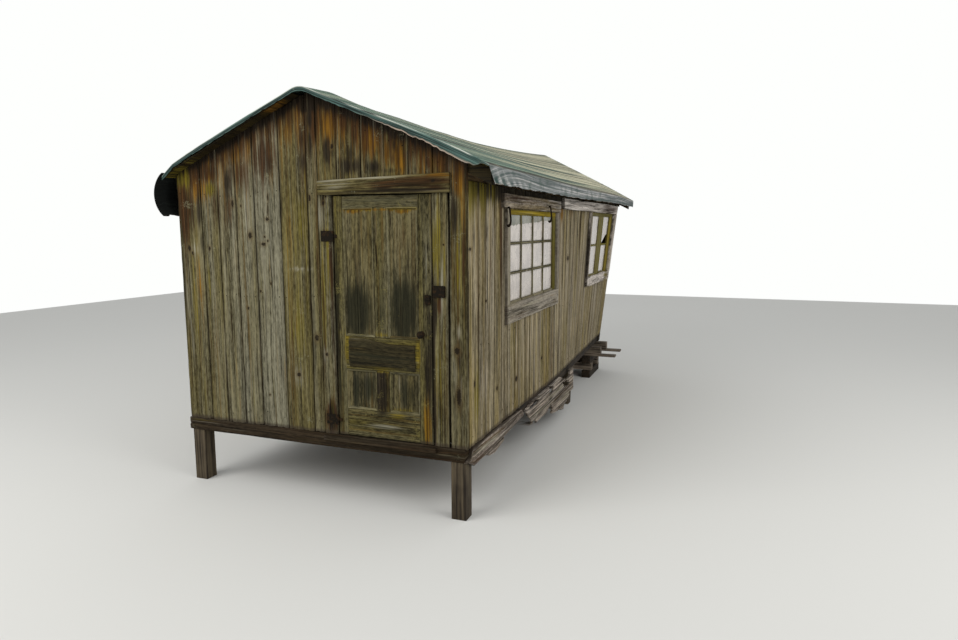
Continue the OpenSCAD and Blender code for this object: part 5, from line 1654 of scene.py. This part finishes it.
def buildRotten():
    batch = newBatch(1, rottenStains)
    face, strand = rottenPlank["face"], rottenPlank["strand"]
    for k in range(rottenPlank["strands"]):
        z0 = rottenPlank["foot"] + k * strand
        middle = z0 + strand / 2
        chance = roll(k + 40.7, 4)
        point = 4.0 + 5.0 * chance[2]
        spans = crossings(rottenOutline, middle)
        for hole in rottenHoles:
            for first, last in crossings(hole, middle):
                spans = [piece for a, b in spans for piece in
                         ((a, min(b, first)), (max(a, last), b)) if piece[1] - piece[0] > 0.02]
        for n, (a, b) in enumerate(spans):
            addBoard(batch, lambda across, along, out: (face + out, along, across), (z0, z0 + strand),
                     (lambda c: a + point * np.abs(c - middle), lambda c: b - point * np.abs(c - middle)),
                     rottenPlank["thickness"] + 0.006 * chance[0], 431.7 + k * 1.3 + n * 0.7, 0.3 + 0.75 * chance[1],
                     0.1 + 0.6 * chance[3], offset=-0.004 * chance[0], dropFrom=b, riseFrom=a - 0.2, column=0.005,
                     ring=0.025, gap=-0.0004, ragged=0.012, wander=0.001, rounding=0.002, edgeReach=0.002)
    finishBatch(batch, "rottenTimber", silverMaterial, "grey_plank", "building", "rotten_timber")


# The grey plank below the near window, and the strip broken off its lower edge
skirt = {
    "face": 1.2225, "thickness": 0.022,
    "upper": [(-0.03, -0.09), (0.045, -0.07), (0.075, -0.006), (0.66, -0.004), (1.24, -0.03), (1.32, -0.08)],
    "lower": [(-0.03, -0.08), (0.11, -0.15), (0.4, -0.155), (0.78, -0.135), (1.32, -0.105)],
    "brokenUpper": [(0.4, -0.159), (0.78, -0.141)],
    "brokenLower": [(0.4, -0.166), (0.422, -0.179), (0.546, -0.197), (0.78, -0.162)],
    "shape": {"ring": 0.02, "column": 0.007, "ragged": 0.006, "rounding": 0.003, "gap": 0.0, "wander": 0.003},
    "stains": {"black": [(0.6, -0.085, 0.5, 0.006, 0.8)], "brown": [(0.2, -0.13, 0.2, 0.012, 0.5)],
               "pale": [(0.3, -0.06, 0.3, 0.02, 0.5)]},
}


def buildBase():
    for name, node, seed in (("frontSill", "front_sill", 401.3), ("thresholdBoard", "threshold", 403.7)):
        batch = newBatch()
        low, high = nodeBox(node)
        addBeam(batch, low, high, seed, 0.5, 0.5, splits=[(0.5, 0.9, False)])
        finishBatch(batch, name, darkTimber, "sill_timber", "building", node)
    batch = newBatch(1, skirt["stains"])
    face, thickness = skirt["face"], skirt["thickness"]
    addPlank(batch, face, skirt["lower"], skirt["upper"], thickness, 411.1, 0.16, 0.45,
             splits=[(0.35, 0.9, True), (0.7, 0.6, False), (0.2, 0.5, False)], **skirt["shape"])
    addPlank(batch, face, skirt["brokenLower"], skirt["brokenUpper"], thickness, 413.9, 0.4, 0.4,
             splits=[(0.5, 0.2, False)], **skirt["shape"])
    finishBatch(batch, "skirtPlank", silverMaterial, "grey_plank", "building", "skirt_plank")
    buildRotten()


buildBase()
print("base built")


# Timber of the frame and base: the solids of the model with a rough sawn finish
def sawnMaterial(name, dark, light, grain):
    material, shader = newMaterial(name, shine=0.2)
    place = addNode("ShaderNodeTexCoord").outputs["Object"]
    scale = {"upright": (60, 60, 1.6), "across": (1.6, 60, 60), "along": (60, 1.6, 60)}[grain]
    streak = streaks(place, scale, detail=4, rough=0.65)
    patch = noise(place, 3.5, detail=3)
    mix = timesPlus(streak, 0.8, times(patch, 0.3))
    plug(blendColour(remap(mix, 0.42, 0.68), dark, light), shader.inputs["Base Color"])
    bump(shader, streak, 0.8, 0.003)
    return material


# Dark and light colour, the way of the grain, and the nodes that are made of it
sawnTimbers = {
    "frameTimber": ((58, 46, 30), (120, 98, 66), "upright", ("front_studs", "right_studs", "left_studs", "back_studs")),
    "plateTimber": ((58, 46, 30), (120, 98, 66), "along", ("top_plates", "ridge_board")),
    "rafterTimber": ((24, 20, 12), (56, 47, 26), "across", ("left_rafters",)),
    "postTimber": ((36, 30, 24), (88, 78, 62), "upright", ("posts",)),
    "cribTimber": ((40, 34, 28), (128, 116, 102), "across", ("crib_timbers", "floor_joists")),
    "skidTimber": ((20, 16, 12), (52, 43, 32), "along", ("crib_blocks", "skids", "back_sill")),
    "floorTimber": ((60, 52, 38), (118, 104, 78), "along", ("floor_boards",)),
}
timbers = {}
for name, (dark, light, grain, nodes) in sawnTimbers.items():
    timbers[name] = sawnMaterial(name, tint(*dark), tint(*light), grain)
    for node in nodes:
        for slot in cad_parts[node].material_slots:
            slot.material = timbers[name]


def liftRafters():
    # the right rafters follow the roofing, which stands above a straight slope
    work = bmesh.new()
    work.from_mesh(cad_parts["right_rafters"].data)
    bmesh.ops.remove_doubles(work, verts=work.verts, dist=1e-5)
    for vertex in work.verts:
        x, y, z = np.array(vertex.co) - houseOrigin
        straight = x - racked(0.0, y, z)[0]
        vertex.co.z += max(0.0, roofLift(straight, y) - 0.004)
    finishWork([work], "rightRafters", timbers["rafterTimber"], "inside_timber", "building", "right_rafters")


liftRafters()
print("timber finished")


# Nail heads
nails = {
    "radius": 0.0032, "seed": 7,
    "proud": 0.0005,                    # how far the heads' middles stand off the boards
    "frontRows": (0.09, 1.02, 1.78), "sideRows": (0.09, 0.7, 1.82), "side": (0.1, 5.4),
}


def nailPlaces():
    proud = nails["proud"]
    places = []
    for k, (first, last) in enumerate(pairs(frontBoards["joints"])):
        for n, z in enumerate(nails["frontRows"]):
            for m, x in enumerate((first + 0.03, last - 0.035)):
                jitter = roll(k * 7.1 + n * 2.3 + m, 2)
                places.append(onFront(x + 0.02 * (jitter[0] - 0.5), z + 0.05 * (jitter[1] - 0.5), proud))
    for k, (first, last) in enumerate(pairs(gableBoards["joints"])):
        for x in (first + 0.04, last - 0.04):
            places.append(onFront(x, underRoof(x) - 0.07 - 0.02 * roll(k + x, 1)[0], proud))
    for y in np.arange(*nails["side"], boardWidth):
        middle = y if y > house["leanStart"] else None
        for n, z in enumerate(nails["sideRows"]):
            jitter = roll(y * 9.7 + n, 2)
            places.append(onSide(1, middle)(y + 0.05 * (jitter[0] - 0.5), z + 0.04 * (jitter[1] - 0.5), proud))
    low, high = nodeBox("window1_casing")
    for y in (low[1] + 0.04, (low[1] + high[1]) / 2, high[1] - 0.04):
        places.append((high[0] + 0.0003, y, low[2] + 0.09))
    return places


def buildNails():
    mesh = bpy.data.meshes.new("nailHeads")
    mesh.from_pydata([tuple(np.array(place, float) + houseOrigin) for place in nailPlaces()], [], [])
    piece = newPiece("nailHeads", mesh)
    current["tree"] = tree = bpy.data.node_groups.new("nailHeads", "GeometryNodeTree")
    tree.interface.new_socket("Places", in_out="INPUT", socket_type="NodeSocketGeometry")
    radius = tree.interface.new_socket("Radius", in_out="INPUT", socket_type="NodeSocketFloat")
    seed = tree.interface.new_socket("Seed", in_out="INPUT", socket_type="NodeSocketInt")
    tree.interface.new_socket("Heads", in_out="OUTPUT", socket_type="NodeSocketGeometry")
    start, end = tree.nodes.new("NodeGroupInput").outputs, tree.nodes.new("NodeGroupOutput").inputs
    head = addNode("GeometryNodeMeshIcoSphere", {"Radius": start["Radius"], "Subdivisions": 2})
    size = addNode("FunctionNodeRandomValue", {2: 0.75, 3: 1.25, 8: start["Seed"]}, data_type="FLOAT")
    spread = addNode("GeometryNodeInstanceOnPoints", {"Points": start["Places"], "Instance": head.outputs["Mesh"],
                                                      "Scale": size.outputs[1]})
    solid = addNode("GeometryNodeRealizeInstances", {"Geometry": spread.outputs[0]})
    painted = addNode("GeometryNodeSetMaterial", {"Geometry": solid.outputs[0], "Material": darkIron})
    plug(painted.outputs[0], end["Heads"])
    repeat = piece.modifiers.new("nailHeads", "NODES")
    repeat.node_group = tree
    repeat[radius.identifier], repeat[seed.identifier] = nails["radius"], nails["seed"]
    made = bpy.data.meshes.new_from_object(piece.evaluated_get(bpy.context.evaluated_depsgraph_get()))
    piece.modifiers.clear()
    piece.data = made
    finishPiece(piece, darkIron, "iron", "building")


buildNails()
print("nails set")


# Plain studio
studio = {
    "floor": 14.0, "floorColour": tint(214, 214, 212), "world": 0.6, "aim": (0, 0, 1.2), "lampSize": 6.0,
    "lamps": {"key": ((-3.5, -8.0, 6.5), 430.0), "fill": ((8.0, -3.5, 5.0), 290.0)},   # place and power
    "lampColour": (1.0, 0.985, 0.95), "skyColour": (0.99, 1.0, 0.985, 1.0),
}


def buildStudio():
    mesh = bpy.data.meshes.new("studioFloor")
    half = studio["floor"]
    mesh.from_pydata([(-half, -half, 0), (half, -half, 0), (half, half, 0), (-half, half, 0)], [], [(0, 1, 2, 3)])
    floor = newPiece("studioFloor", mesh)
    material, shader = newMaterial("studioFloor")
    shader.inputs["Base Color"].default_value = studio["floorColour"]
    mesh.materials.append(material)
    for name, (place, power) in studio["lamps"].items():
        lamp = bpy.data.lights.new(name, "AREA")
        lamp.shape, lamp.size, lamp.energy = "SQUARE", studio["lampSize"], power
        lamp.color = studio["lampColour"]
        lampObject = newPiece(name, lamp)
        lampObject.location = place
        aim = Vector(studio["aim"]) - Vector(place)
        lampObject.rotation_euler = aim.to_track_quat("-Z", "Y").to_euler()
    world = bpy.data.worlds.new("studio")
    scene.world = world
    world.use_nodes = True
    current["tree"] = world.node_tree
    back = world.node_tree.nodes["Background"]
    path = addNode("ShaderNodeLightPath")
    shown = calc("MAXIMUM", path.outputs["Is Camera Ray"], path.outputs["Is Glossy Ray"])
    shown = calc("MAXIMUM", shown, path.outputs["Is Transmission Ray"])
    strength = timesPlus(shown, 1.0 - studio["world"], studio["world"])
    back.inputs["Color"].default_value = studio["skyColour"]
    plug(strength, back.inputs["Strength"])


buildStudio()
scene.view_settings.view_transform = "Standard"
